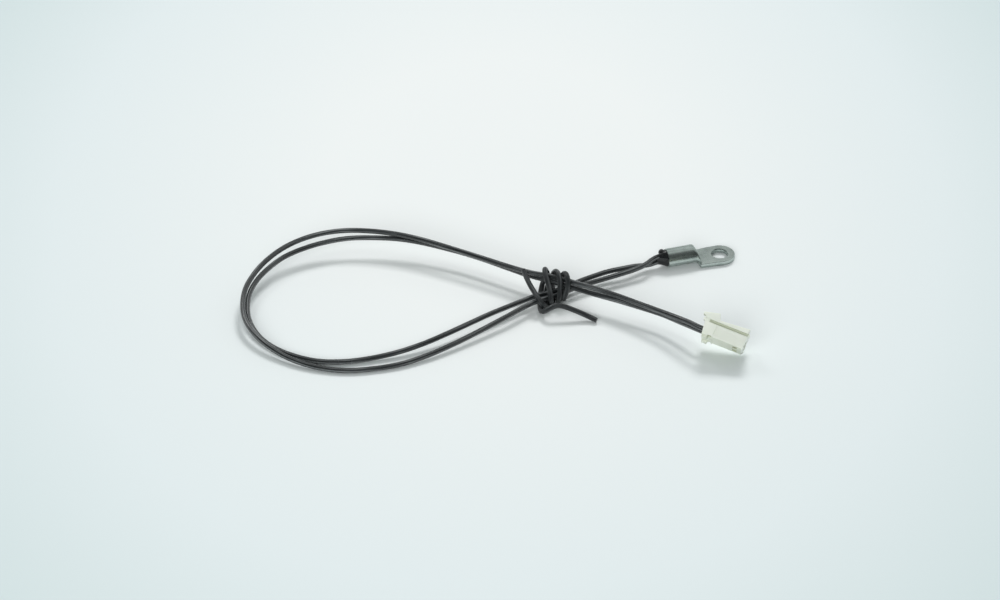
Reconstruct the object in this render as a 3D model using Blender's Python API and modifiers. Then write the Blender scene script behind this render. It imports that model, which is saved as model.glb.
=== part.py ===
"""Ring-lug bead thermistor on a two-wire lead.

The sensing bead sits in the barrel of a ring terminal made from one flattened tube, and dark epoxy
closes the mouth. Two thin insulated wires run from it round one loose loop to a two-way wire-to-board
housing. A short length of the same wire is wound three times round the place where the lead crosses
itself.

The lug lies flat on the ground: its long axis is X with the ring at +X, and Z is up. The origin is
below the middle of the probe, which is everything except the wires, the tie and the connector.
"""
import math

import bmesh
import bpy
import numpy as np
from mathutils import Matrix, Vector

MM = 0.001

# Driving dimensions, in millimetres.
CLEARANCE = 0.05          # between pieces that touch, small because the pieces are

PROBE_LENGTH = 18.6       # tip of the epoxy to the end of the ring; X is counted from its middle
TUBE_WALL = 0.55
BARREL_DIAMETER = 4.2
BARREL_LENGTH = 6.1       # the part of the tube that stays round
BARREL_SIDE = 0.55        # the barrel stands this far to one side of the tongue's middle
SHOULDER_LENGTH = 1.4     # over which the tube drops to the tongue,
SHOULDER_STEEPEST = 78.0  # ending at this slope, in degrees
TONGUE_WIDTH = 5.8
TONGUE_LAP = 0.35         # the tongue's plan starts this far inside the shoulder
TONGUE_EDGE = 0.12        # rolled edge of the stamped outline
RING_DIAMETER = 6.65
HOLE_DIAMETER = 3.7
HOLE_SET_BACK = 0.15      # from the ring's centre towards the barrel
HOLE_CHAMFER = 0.12

BEAD_DIAMETER = 1.7
BEAD_SET_BACK = 1.15      # from the shoulder to the bead's centre
LEAD_DIAMETER = 0.24
LEAD_PITCH_AT_BEAD = 0.6
LEAD_DEPTH_IN_BEAD = 0.4
SOLDER_DIAMETER = 0.68
SOLDER_LENGTH = 1.1
SLEEVE_DIAMETER = 1.0
SLEEVE_WALL = 0.11
SLEEVE_LENGTH = 1.6

WIRE_DIAMETER = 1.16
CONDUCTOR_DIAMETER = 0.40
INSULATION_SET_BACK = 3.15   # from the bead's centre to the end of the insulation
STRIPPED_LENGTH = 1.2
STRIP_STEP = 0.02            # length of the step from insulation to conductor

EPOXY_LENGTH = 2.4        # outside the barrel's mouth
EPOXY_RIM = 0.15          # metal left bare round the mouth
EPOXY_TIP_WALL = 0.25     # round the wires where they come out
EPOXY_FLARE = ((0.1, 0.2), (0.25, 0.5), (0.45, 0.76), (0.7, 0.92), (1.0, 1.0))
BLOB_RADIUS = 0.9         # drop of epoxy that stands out beside the cone,
BLOB_BEHIND = 0.85        # placed from the middle of the mouth: towards the cable,
BLOB_SIDE = 0.75          # to the side
BLOB_RISE = 1.15          # and up

HOUSING_REAR = (-10.5, -32.2, 5.1)      # middle between the two cavities, at the rear face
HOUSING_HEADING = -38.1                 # degrees: turned in plan,
HOUSING_NOSE_DOWN = 12.0                # tipped to the nose
HOUSING_ROLL = -51.0                    # and leaning on one long edge
HOUSING_LENGTH = 9.4
HOUSING_WIDTH = 5.8
HOUSING_FLOOR = -1.35                   # heights inside the housing are from the cavities' axis
GROOVE_HEIGHT = 1.55
GROOVE_GAP = 0.65
GROOVE_DEPTH = 0.65
RAIL_TOP_REAR = 2.65
RAIL_TOP_NOSE = 3.3
RAIL_WIDTH = 1.2
CHANNEL_FLOOR = 2.3
COLLAR_LENGTH = 2.4
COLLAR_STEP = 0.12
REAR_RAKE = 0.85                        # the rear edge leans back by this much at the top
EAR_WIDTH = 1.5
EAR_TOP = 4.15
EAR_NOTCH = 2.6                         # underside of the ears, above a small notch
EAR_REACH = 1.25                        # the top ears stand out this far behind the rear face
FOOT_DROP = 0.65
FOOT_START = 0.15
FOOT_END = 1.3
CAVITY_PITCH = 2.5
CAVITY_WIDTH = 2.0
CAVITY_FLOOR = -1.05
CAVITY_ROOF = 1.2
PIN_HOLE = 1.2
NOSE_WALL = 0.7
WINDOW_START = 7.05
WINDOW_LENGTH = 1.05
WINDOW_WIDTH = 1.4
EDGE_ROUNDING = 0.1

CONTACT_WALL = 0.18
RECEPTACLE_START = 3.9
RECEPTACLE_END = 8.55
RECEPTACLE_WIDTH = 1.7
RECEPTACLE_HEIGHT = 1.8
STRIP_START = 0.35
STRIP_WIDTH = 0.84
STRIP_RISE = 0.03                       # the strip lies this much above the receptacle's floor
LATCH_LENGTH = 0.58
LATCH_DROP = 0.2
LATCH_WIDTH = 0.6
GRIP_START = 0.4                        # on the insulation
GRIP_END = 1.5
CRIMP_START = 2.05                      # on the conductor
CRIMP_END = 3.25
SEAM_WIDTH = 0.12
WIRE_ENTRY = (-1.4, -0.4, 0.5, 1.1)     # straight run into each cavity, from the rear face
INSULATION_END = 1.65
CONDUCTOR_END = 3.4
CONDUCTOR_DROP = 0.3                    # the stripped end sits lower than the insulation

CUT_PAST = 1.0                          # cutters stand out this far past what they cut

# Routes of the lead, in millimetres: hand-placed points from the probe to the connector. They leave
# out the straight ends inside the probe and the connector, which are worked out from those pieces.
ROUTES_TIP_X = -9.3                     # the epoxy's tip for which the points are written
ROUTE_A = [
    (-10.6, 0.15, 2.8), (-12.7, -1.25, 2.85), (-15.3, -1.85, 2.4), (-18.6, -2.4, 2.15),
    (-22, -2.8, 2), (-25.5, -3.3, 1.95), (-29, -3.9, 1.95), (-32.7, -5, 2), (-36.3, -5.9, 2),
    (-39.8, -6.7, 2.1), (-43.5, -8.2, 2.2), (-47.8, -10.2, 2.1), (-52.6, -12.1, 1.8),
    (-57.8, -14.1, 1.5), (-63.3, -16, 1.2), (-69.2, -17.6, 0.9), (-74.8, -18.4, 0.7),
    (-81, -18.1, 0.62), (-86.6, -16.9, 0.62), (-91.9, -14.2, 0.7), (-95.9, -10.9, 0.95),
    (-98.9, -7.2, 1.3), (-101.4, -2.8, 1.85), (-102.8, 1.6, 2.35), (-103.2, 6, 2.7),
    (-102.4, 10.8, 3.05), (-100.7, 15.4, 3.45), (-98.1, 19.4, 3.75), (-94.8, 23, 4.1),
    (-89.6, 26.8, 4.5), (-84.5, 28.8, 4.8), (-79.5, 29.3, 5.1), (-74.3, 28.6, 5.3),
    (-68.9, 26.7, 5.3), (-63.6, 23.9, 5.2), (-58.9, 20.4, 5.05), (-54.9, 16.7, 4.9),
    (-50.9, 12.7, 4.8), (-47, 8.6, 4.75), (-43.2, 4.5, 4.75), (-39.3, 0.6, 4.8),
    (-35.1, -2.4, 4.8), (-31.2, -6, 4.75), (-27.3, -9.7, 4.65), (-23.6, -13.7, 4.65),
    (-20.1, -18.2, 4.75), (-16.7, -23, 5.1), (-13.9, -28, 5.85), (-12.8, -30.4, 6.3)]
ROUTE_B = [
    (-10.6, 0.45, 1.45), (-12.2, 0.25, 1.6), (-14.6, -0.1, 2), (-17.9, -0.6, 2.2),
    (-21.2, -0.6, 2.1), (-24.8, -1.2, 2), (-28.4, -2, 1.9), (-32.1, -3.2, 1.85),
    (-35.7, -4.2, 1.95), (-39.1, -4.7, 2.1), (-42.7, -5.7, 2.2), (-46.8, -7.1, 2.3),
    (-51.5, -8.6, 2.3), (-56.6, -10.3, 2.1), (-62.2, -12.2, 1.9), (-68, -13.7, 1.5),
    (-73.7, -14.5, 1.1), (-79.9, -14.5, 0.75), (-85.8, -13.8, 0.62), (-91.3, -11.9, 0.62),
    (-95.4, -8.8, 0.62), (-98.5, -5.2, 0.62), (-100.7, -1.1, 0.7), (-101.8, 2.8, 1),
    (-102.1, 6.2, 1.55), (-101.4, 10.8, 2.1), (-99.9, 14.8, 2.55), (-97.3, 18.7, 2.9),
    (-93.9, 22, 3.2), (-89.5, 25.1, 3.4), (-84.6, 26.8, 3.6), (-79.5, 27.5, 3.8),
    (-74.2, 27.3, 3.95), (-68.7, 25.8, 4), (-63.2, 23.6, 3.95), (-58.4, 20.7, 3.8),
    (-54.2, 17.4, 3.65), (-50.1, 13.8, 3.5), (-46.4, 9.9, 3.45), (-42.8, 5.7, 3.4),
    (-39, 1.3, 3.4), (-35.1, -2.3, 3.45), (-31.2, -6.3, 3.4), (-27.4, -10, 3.35),
    (-23.5, -13.7, 3.35), (-19.8, -17.6, 3.4), (-16.2, -21.7, 3.5), (-13.4, -26.4, 3.85),
    (-12.1, -28.9, 4.2)]
ROUTE_TIE = [
    (-40.8, 0.75, 5.8), (-40.7, -0.5, 5.15), (-40.6, -1.85, 4.6), (-40.45, -3.2, 4.1),
    (-40.25, -4.7, 3.7), (-40.1, -6.35, 3.5), (-39.9, -8, 3.2), (-39.3, -8.45, 2.2),
    (-38.35, -8.1, 1.15), (-37.9, -6.9, 0.7), (-37.15, -4.8, 0.63), (-36.55, -2.8, 0.65),
    (-35.85, -1.25, 1.1), (-35.15, -0.35, 2.2), (-35.2, 0.05, 3.6), (-35.65, -0.05, 4.9),
    (-36.1, -0.45, 5.8), (-36.45, -1.25, 6.1), (-36.65, -2.1, 5.95), (-36.7, -3.45, 5.15),
    (-36.7, -4.95, 4.25), (-36.9, -6.8, 3.25), (-37, -7.55, 2.1), (-36.7, -7.15, 1.05),
    (-36.15, -5.95, 0.65), (-35.55, -4.25, 0.63), (-34.9, -2.5, 0.65), (-34.45, -0.85, 0.8),
    (-34.1, 0.5, 1.8), (-33.95, 0.35, 3.4), (-33.95, -0.9, 4.9), (-34.05, -2.25, 5.9),
    (-34.05, -3.2, 6.15), (-34.05, -4.3, 5.85), (-34.15, -5.3, 4.9), (-34.45, -6.1, 3.6),
    (-34.8, -6.8, 2.5), (-35.05, -7.05, 1.7), (-35, -6.6, 0.9), (-34.65, -5.5, 0.65),
    (-33.95, -3.6, 0.65), (-33.05, -2, 0.85), (-32.6, -1.3, 2.2), (-32.6, -1.95, 4),
    (-32.55, -2.8, 5.3), (-32.45, -3.9, 6.05), (-32.5, -4.8, 6.2), (-32.6, -5.9, 5.8),
    (-32.75, -6.6, 4.6), (-33.15, -6.7, 3.1), (-33.6, -6.8, 2), (-33.65, -6.45, 1.2),
    (-33.35, -5.6, 0.7), (-32.8, -4.2, 0.65), (-31.8, -2.4, 0.65), (-31.05, -0.75, 0.75),
    (-31.45, 1.05, 1.1), (-32.85, 1.9, 1.5), (-34.4, 1.95, 1.8), (-35.7, 1.15, 1.95),
    (-36.55, -0.25, 1.95), (-37.2, -1.4, 1.55), (-37.85, -2.7, 1), (-38.4, -4.1, 0.7),
    (-38.9, -5.5, 0.62), (-39.4, -7.1, 0.62), (-39.75, -8.8, 0.8), (-39.5, -10.2, 1.5),
    (-38.6, -10.8, 2.4), (-37.4, -10.9, 2.95), (-36.2, -11.1, 3), (-35.1, -11.6, 2.75),
    (-33.75, -12.35, 2.3), (-32.2, -13.25, 1.7), (-30.5, -14.4, 1), (-29.2, -15.7, 0.62)]

# Values worked out from the driving dimensions.
AXIS_HEIGHT = BARREL_DIAMETER / 2
BORE = BARREL_DIAMETER - 2 * TUBE_WALL
TONGUE_THICKNESS = 2 * TUBE_WALL
RING_X = PROBE_LENGTH / 2 - RING_DIAMETER / 2
HOLE_X = RING_X - HOLE_SET_BACK
EPOXY_TIP_X = -PROBE_LENGTH / 2
BARREL_MOUTH_X = EPOXY_TIP_X + EPOXY_LENGTH
SHOULDER_X = BARREL_MOUTH_X + BARREL_LENGTH
SHOULDER_END_X = SHOULDER_X + SHOULDER_LENGTH
BEAD_X = SHOULDER_X - BEAD_SET_BACK
BEAD_FACE_X = BEAD_X - BEAD_DIAMETER / 2
INSULATION_START_X = BEAD_X - INSULATION_SET_BACK
SLEEVE_START_X = INSULATION_START_X + 3 * CLEARANCE
SLEEVE_END_X = SLEEVE_START_X + SLEEVE_LENGTH
SOLDER_START_X = SLEEVE_START_X + 3 * CLEARANCE
SOLDER_END_X = SOLDER_START_X + SOLDER_LENGTH
CONDUCTOR_START_X = INSULATION_START_X + STRIPPED_LENGTH
WIRE_PITCH_IN_BARREL = WIRE_DIAMETER + 4 * CLEARANCE
LEAD_SHIFT = EPOXY_TIP_X - ROUTES_TIP_X
HALF_WIDTH = HOUSING_WIDTH / 2
ROUND_SIDES = 24
LUG_SIDES = 40
SHOULDER_STEPS = 10


def collection(name):
    made = bpy.data.collections.new(name)
    bpy.context.scene.collection.children.link(made)
    return made


def material(name, colour, roughness, metallic=0.0):
    made = bpy.data.materials.new(name)
    made.use_nodes = True
    shader = made.node_tree.nodes["Principled BSDF"]
    shader.inputs["Base Color"].default_value = (*colour, 1.0)
    shader.inputs["Roughness"].default_value = roughness
    shader.inputs["Metallic"].default_value = metallic
    made.diffuse_color = (*colour, 1.0)
    return made


def new_object(name, data, frame=None):
    made = bpy.data.objects.new(name, data)
    made.matrix_world = frame if frame is not None else Matrix.Identity(4)
    CUTTERS.objects.link(made)
    made.hide_render = True
    made.display_type = "WIRE"
    return made


def finish(part, look):
    """Turn a shape into a named sub-part of the object, with its material."""
    CUTTERS.objects.unlink(part)
    PARTS.objects.link(part)
    part.hide_render = False
    part.display_type = "TEXTURED"
    part.data.materials.clear()
    part.data.materials.append(look)
    if part.type == "MESH":
        part.data.shade_smooth()
        part.data.set_sharp_from_angle(angle=math.radians(35))
    return part


def mesh_object(name, shape, frame=None):
    bmesh.ops.recalc_face_normals(shape, faces=shape.faces)
    mesh = bpy.data.meshes.new(name)
    shape.to_mesh(mesh)
    shape.free()
    return new_object(name, mesh, frame)


def round_edges(part, edge):
    bevel = part.modifiers.new("edge", "BEVEL")
    bevel.width = edge * MM
    bevel.segments = 2
    bevel.limit_method = "ANGLE"
    return part


def box(name, low, high, frame=None):
    """A block between two corners, in millimetres."""
    shape = bmesh.new()
    bmesh.ops.create_cube(shape, size=1.0)
    low, high = Vector(low) * MM, Vector(high) * MM
    bmesh.ops.scale(shape, vec=high - low, verts=shape.verts)
    bmesh.ops.translate(shape, vec=(low + high) / 2, verts=shape.verts)
    return mesh_object(name, shape, frame)


def rod(name, start, end, radius, y=0.0, z=0.0, frame=None):
    """A round bar along X from start to end."""
    shape = bmesh.new()
    turn = Matrix.Rotation(math.radians(90), 4, "Y")
    bmesh.ops.create_cone(shape, cap_ends=True, segments=ROUND_SIDES, radius1=radius * MM,
                          radius2=radius * MM, depth=(end - start) * MM, matrix=turn)
    bmesh.ops.translate(shape, vec=Vector(((start + end) / 2, y, z)) * MM, verts=shape.verts)
    return mesh_object(name, shape, frame)


def ball(name, centre, radius, depth_x=1.0):
    """A sphere, flattened along X if depth_x is under 1."""
    shape = bmesh.new()
    bmesh.ops.create_uvsphere(shape, u_segments=ROUND_SIDES, v_segments=ROUND_SIDES // 2,
                              radius=radius * MM)
    poles_on_x = Matrix.Rotation(math.radians(5), 4, "X") @ Matrix.Rotation(math.radians(90), 4, "Y")
    bmesh.ops.transform(shape, matrix=poles_on_x, verts=shape.verts)
    bmesh.ops.scale(shape, vec=(depth_x, 1, 1), verts=shape.verts)
    bmesh.ops.translate(shape, vec=Vector(centre) * MM, verts=shape.verts)
    return mesh_object(name, shape)


def extruded(name, outline, low_y, high_y, frame=None):
    """A side outline of (x, z) points, extruded across Y."""
    shape = bmesh.new()
    near = [shape.verts.new(Vector((x, low_y, z)) * MM) for x, z in outline]
    far = [shape.verts.new(Vector((x, high_y, z)) * MM) for x, z in outline]
    shape.faces.new(near)
    shape.faces.new(far)
    for i in range(len(near)):
        j = (i + 1) % len(near)
        shape.faces.new((near[i], near[j], far[j], far[i]))
    return mesh_object(name, shape, frame)


def loft(name, sections, frame=None):
    """A skin through closed sections with the same number of points, capped at both ends."""
    shape = bmesh.new()
    rings = [[shape.verts.new(Vector(point) * MM) for point in section] for section in sections]
    for ring, following in zip(rings, rings[1:]):
        for i in range(len(ring)):
            j = (i + 1) % len(ring)
            shape.faces.new((ring[i], ring[j], following[j], following[i]))
    shape.faces.new(rings[0])
    shape.faces.new(rings[-1])
    return mesh_object(name, shape, frame)


def combine(target, other, operation):
    """Cut or join two shapes, and keep the second one as a hidden construction piece."""
    change = target.modifiers.new(other.name, "BOOLEAN")
    change.operation = operation
    change.solver = "EXACT"
    change.object = other
    return target


def cut(target, *others):
    for other in others:
        combine(target, other, "DIFFERENCE")
    return target


def join(target, *others):
    for other in others:
        combine(target, other, "UNION")
    return target


def smooth_curve(points, step=0.2):
    """Closely spaced points on a centripetal Catmull-Rom curve through the given ones."""
    points = np.asarray(points, float)
    padded = np.vstack([2 * points[0] - points[1], points, 2 * points[-1] - points[-2]])
    drawn = []
    for p0, p1, p2, p3 in zip(padded, padded[1:], padded[2:], padded[3:]):
        t1 = math.sqrt(np.linalg.norm(p1 - p0))
        t2 = t1 + math.sqrt(np.linalg.norm(p2 - p1))
        t3 = t2 + math.sqrt(np.linalg.norm(p3 - p2))
        count = max(2, int(np.linalg.norm(p2 - p1) / step) + 1)
        for t in np.linspace(t1, t2, count, endpoint=False):
            a1 = (t1 - t) / t1 * p0 + t / t1 * p1
            a2 = ((t2 - t) * p1 + (t - t1) * p2) / (t2 - t1)
            a3 = ((t3 - t) * p2 + (t - t2) * p3) / (t3 - t2)
            b1 = (t2 - t) / t2 * a1 + t / t2 * a2
            b2 = ((t3 - t) * a2 + (t - t1) * a3) / (t3 - t1)
            drawn.append(((t2 - t) * b1 + (t - t1) * b2) / (t2 - t1))
    drawn.append(points[-1])
    return np.array(drawn)


def thinned(curve, longest, sharpest):
    """Keep a point each time the curve has run or turned far enough since the last one kept."""
    kept = [curve[0]]
    run = turned = 0.0
    heading = curve[1] - curve[0]
    for here, following in zip(curve[1:], curve[2:]):
        new_heading = following - here
        cosine = np.dot(heading, new_heading) / np.linalg.norm(heading) / np.linalg.norm(new_heading)
        turned += math.degrees(math.acos(min(1.0, max(-1.0, cosine))))
        run += np.linalg.norm(heading)
        heading = new_heading
        if run >= longest or turned >= sharpest:
            kept.append(here)
            run = turned = 0.0
    kept.append(curve[-1])
    return kept


def tube(name, points, radii):
    """A round wire through the points, with its own radius at each."""
    curve = bpy.data.curves.new(name, "CURVE")
    curve.dimensions = "3D"
    curve.bevel_depth = MM
    curve.bevel_resolution = 2
    curve.use_fill_caps = True
    spline = curve.splines.new("POLY")
    spline.points.add(len(points) - 1)
    for slot, point, radius in zip(spline.points, points, radii):
        slot.co = (*(Vector(point) * MM), 1.0)
        slot.radius = radius
    return new_object(name, curve)


def solid_tube(name, points, radii):
    """The same as a closed mesh, for pieces that are cut and for cutters."""
    return curve_to_mesh(name, tube(name + "_curve", points, radii))


def curve_to_mesh(name, curve, lift=0.0):
    """Replace a curve by its closed mesh, raised by a height in millimetres."""
    shape = bmesh.new()
    shape.from_mesh(bpy.data.meshes.new_from_object(curve))
    bmesh.ops.translate(shape, vec=(0, 0, lift * MM), verts=shape.verts)
    bmesh.ops.remove_doubles(shape, verts=shape.verts, dist=0.001 * MM)
    bpy.data.objects.remove(curve)
    return mesh_object(name, shape)


def flattened_section(x, flatness, inset=0.0):
    """Section of the terminal's tube: round at flatness 0, the flat tongue at 1."""
    width = BARREL_DIAMETER + (TONGUE_WIDTH - BARREL_DIAMETER) * flatness - 2 * inset
    height = tube_height(flatness) - 2 * inset
    middle = BARREL_SIDE * (1 - flatness)
    straight = (width - height) / 2
    points = []
    for i in range(LUG_SIDES):
        angle = 2 * math.pi * (i + 0.5) / LUG_SIDES
        y = middle + math.copysign(straight, math.cos(angle)) + height / 2 * math.cos(angle)
        z = inset + height / 2 + height / 2 * math.sin(angle)
        points.append((x, y, z))
    return points


def tube_height(flatness):
    return BARREL_DIAMETER + (TONGUE_THICKNESS - BARREL_DIAMETER) * flatness


def shoulder_stations(length):
    """Places along the shoulder with how flat the tube is there: a dome, steepest at its foot."""
    last = math.radians(SHOULDER_STEEPEST)
    for i in range(SHOULDER_STEPS + 1):
        angle = last * i / SHOULDER_STEPS
        along = math.sin(angle) / math.sin(last)
        yield SHOULDER_X + length * along, (1 - math.cos(angle)) / (1 - math.cos(last))


def ring_outline():
    """Plan of the tongue: two sides from the shoulder that run out into the ring."""
    half, radius = TONGUE_WIDTH / 2, RING_DIAMETER / 2
    start_x = SHOULDER_END_X - TONGUE_LAP
    reach = RING_X - start_x
    meet = math.atan2(half, -reach) - math.acos(radius / math.hypot(reach, half))
    points = [(start_x, -half)]
    for i in range(LUG_SIDES + 1):
        angle = -meet + 2 * meet * i / LUG_SIDES
        points.append((RING_X + radius * math.cos(angle), radius * math.sin(angle)))
    points.append((start_x, half))
    return points


def make_tongue():
    curve = bpy.data.curves.new("tongue_plan", "CURVE")
    curve.dimensions = "2D"
    curve.fill_mode = "BOTH"
    curve.extrude = (TONGUE_THICKNESS / 2 - TONGUE_EDGE) * MM
    curve.bevel_depth = TONGUE_EDGE * MM
    curve.bevel_resolution = 1
    curve.offset = -TONGUE_EDGE * MM
    outline = ring_outline()
    spline = curve.splines.new("POLY")
    spline.points.add(len(outline) - 1)
    spline.use_cyclic_u = True
    for slot, (x, y) in zip(spline.points, outline):
        slot.co = (x * MM, y * MM, 0.0, 1.0)
    plan = new_object("tongue_curve", curve)
    return curve_to_mesh("tongue_plate", plan, TONGUE_THICKNESS / 2)


def make_barrel_bore():
    """Room inside the tube, which closes before the foot of the shoulder."""
    sections = [flattened_section(BARREL_MOUTH_X - CUT_PAST, 0.0, TUBE_WALL)]
    for x, flat in shoulder_stations(SHOULDER_LENGTH - TUBE_WALL):
        if tube_height(flat) > 2.5 * TUBE_WALL:
            sections.append(flattened_section(x, flat, TUBE_WALL))
    return loft("barrel_bore", sections)


def make_stud_hole():
    """Round hole with a small chamfer at both faces."""
    shape = bmesh.new()
    radius = HOLE_DIAMETER / 2
    wide = radius + 2 * HOLE_CHAMFER
    profile = [(wide, TONGUE_THICKNESS + HOLE_CHAMFER), (radius, TONGUE_THICKNESS - HOLE_CHAMFER),
               (radius, HOLE_CHAMFER), (wide, -HOLE_CHAMFER)]
    rings = []
    for r, z in profile:
        rings.append([shape.verts.new(Vector((HOLE_X + r * math.cos(a), r * math.sin(a), z)) * MM)
                      for a in np.linspace(0, 2 * math.pi, LUG_SIDES, endpoint=False)])
    for ring, following in zip(rings, rings[1:]):
        for i in range(LUG_SIDES):
            j = (i + 1) % LUG_SIDES
            shape.faces.new((ring[i], ring[j], following[j], following[i]))
    shape.faces.new(rings[0])
    shape.faces.new(rings[-1])
    return mesh_object("stud_hole", shape)


def make_ring_terminal(look):
    sections = [flattened_section(BARREL_MOUTH_X, 0.0)]
    sections += [flattened_section(x, flat) for x, flat in shoulder_stations(SHOULDER_LENGTH)]
    sections.append(flattened_section(SHOULDER_END_X + TONGUE_LAP, 1.0))
    part = loft("ring_terminal", sections)
    join(part, make_tongue())
    cut(part, make_barrel_bore(), make_stud_hole())
    return finish(part, look)


def lead_height(side, pitch):
    """Height of one of the two leads inside the barrel: side +1 is the upper one."""
    return AXIS_HEIGHT + side * pitch / 2


def barrel_rod(name, start, end, radius, height):
    """A round bar along the barrel, in the barrel's middle plane."""
    return rod(name, start, end, radius, y=BARREL_SIDE, z=height)


def lead_route(side):
    outer, inner = lead_height(side, WIRE_PITCH_IN_BARREL), lead_height(side, LEAD_PITCH_AT_BEAD)
    places = [(SOLDER_START_X, outer), (SOLDER_END_X, outer), (SOLDER_END_X + CLEARANCE, outer),
              (SLEEVE_END_X + CLEARANCE, outer), (BEAD_FACE_X - CLEARANCE, inner),
              (BEAD_FACE_X + LEAD_DEPTH_IN_BEAD, inner)]
    return [(x, BARREL_SIDE, z) for x, z in places]


def make_bead_lead(name, side, look):
    """Fine bead wire with the solder joint at its end, bored for the conductor."""
    thick, thin = SOLDER_DIAMETER / 2, LEAD_DIAMETER / 2
    part = solid_tube(name, lead_route(side), [thick, thick, thin, thin, thin, thin])
    cut(part, barrel_rod(name + "_bore", SOLDER_START_X - CUT_PAST, CONDUCTOR_START_X + CLEARANCE,
                         CONDUCTOR_DIAMETER / 2 + CLEARANCE, lead_height(side, WIRE_PITCH_IN_BARREL)))
    return finish(part, look)


def make_lead_sleeve(name, side, look):
    height = lead_height(side, WIRE_PITCH_IN_BARREL)
    part = barrel_rod(name, SLEEVE_START_X, SLEEVE_END_X, SLEEVE_DIAMETER / 2, height)
    cut(part, barrel_rod(name + "_bore", SLEEVE_START_X - CUT_PAST, SLEEVE_END_X + CUT_PAST,
                         SLEEVE_DIAMETER / 2 - SLEEVE_WALL, height))
    return finish(part, look)


def bead_place():
    return (BEAD_X, BARREL_SIDE, AXIS_HEIGHT)


def make_bead(look):
    part = ball("thermistor_bead", bead_place(), BEAD_DIAMETER / 2)
    for side, label in ((1, "a"), (-1, "b")):
        cut(part, barrel_rod("bead_hole_" + label, BEAD_FACE_X - CUT_PAST,
                             BEAD_FACE_X + LEAD_DEPTH_IN_BEAD + CLEARANCE,
                             LEAD_DIAMETER / 2 + CLEARANCE, lead_height(side, LEAD_PITCH_AT_BEAD)))
    return finish(part, look)


def oval_section(x, width, height):
    angles = [2 * math.pi * i / ROUND_SIDES for i in range(ROUND_SIDES)]
    return [(x, BARREL_SIDE + width / 2 * math.cos(a), AXIS_HEIGHT + height / 2 * math.sin(a))
            for a in angles]


def epoxy_sections():
    """Plug in the bore, then a cone that narrows quickly towards the wires."""
    plug, rim = BORE - 2 * CLEARANCE, BARREL_DIAMETER - 2 * EPOXY_RIM
    rim_x = BARREL_MOUTH_X - CLEARANCE
    tip_width = WIRE_DIAMETER + 2 * CLEARANCE + 2 * EPOXY_TIP_WALL
    tip_height = tip_width + WIRE_PITCH_IN_BARREL
    sections = [oval_section(SHOULDER_X, plug, plug), oval_section(rim_x + STRIP_STEP, plug, plug),
                oval_section(rim_x, rim, rim)]
    for along, narrowed in EPOXY_FLARE:
        sections.append(oval_section(rim_x + (EPOXY_TIP_X - rim_x) * along,
                                     rim + (tip_width - rim) * narrowed,
                                     rim + (tip_height - rim) * narrowed))
    return sections


def make_epoxy(look, wire_ends):
    """Potting in the bore, with the cone and the drop that stand out of the mouth."""
    part = loft("potting_epoxy", epoxy_sections())
    blob_depth = (BLOB_BEHIND - 2 * CLEARANCE) / BLOB_RADIUS
    blob_place = (BARREL_MOUTH_X - BLOB_BEHIND, BARREL_SIDE + BLOB_SIDE, AXIS_HEIGHT + BLOB_RISE)
    join(part, ball("epoxy_blob", blob_place, BLOB_RADIUS, blob_depth))
    cut(part, ball("bead_room", bead_place(), BEAD_DIAMETER / 2 + CLEARANCE))
    for side, label in ((1, "a"), (-1, "b")):
        height = lead_height(side, WIRE_PITCH_IN_BARREL)
        cut(part, barrel_rod("sleeve_room_" + label, INSULATION_START_X - CLEARANCE,
                             SLEEVE_END_X + CLEARANCE, SLEEVE_DIAMETER / 2 + CLEARANCE, height))
        start = (SLEEVE_END_X - SOLDER_DIAMETER / 2, BARREL_SIDE, height)
        cut(part, solid_tube("lead_room_" + label, [start] + lead_route(side)[4:],
                             [LEAD_DIAMETER / 2 + CLEARANCE] * 3))
        points = wire_ends[label]
        cut(part, solid_tube("wire_room_" + label, points,
                             [WIRE_DIAMETER / 2 + CLEARANCE] * len(points)))
    return finish(part, look)


def housing_frame():
    turn = (Matrix.Rotation(math.radians(HOUSING_HEADING), 4, "Z")
            @ Matrix.Rotation(math.radians(HOUSING_NOSE_DOWN), 4, "Y")
            @ Matrix.Rotation(math.radians(HOUSING_ROLL), 4, "X"))
    return Matrix.Translation(Vector(from_probe(HOUSING_REAR)) * MM) @ turn


def from_probe(point):
    """A place of the lead or the connector, moved along with the probe's cable end."""
    x, y, z = point
    return (x + LEAD_SHIFT, y, z)


def in_housing(x, y, z):
    """A place in the housing's own axes, given in the part's, both in millimetres."""
    return tuple(housing_frame() @ (Vector((x, y, z)) * MM) / MM)


def both_sides(inner, outer):
    """The two ranges across the housing between an inner and an outer distance from its middle."""
    return (("near", -outer, -inner), ("far", inner, outer))


def make_housing_body(frame):
    floor, lap = HOUSING_FLOOR, GROOVE_HEIGHT - EDGE_ROUNDING
    outline = [(0, floor), (HOUSING_LENGTH, floor), (HOUSING_LENGTH, RAIL_TOP_NOSE),
               (COLLAR_LENGTH, RAIL_TOP_REAR), (-0.7 * REAR_RAKE, RAIL_TOP_REAR - 0.4),
               (-0.5 * REAR_RAKE, GROOVE_HEIGHT)]
    part = extruded("connector_housing", outline, -HALF_WIDTH, HALF_WIDTH, frame)
    round_edges(part, EDGE_ROUNDING)
    collar = [(0, floor - COLLAR_STEP), (COLLAR_LENGTH, floor - COLLAR_STEP),
              (COLLAR_LENGTH, lap), (-0.4 * REAR_RAKE, lap)]
    collar_half = HALF_WIDTH + COLLAR_STEP
    block = extruded("collar_block", collar, -collar_half, collar_half, frame)
    return join(part, round_edges(block, EDGE_ROUNDING))


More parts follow.
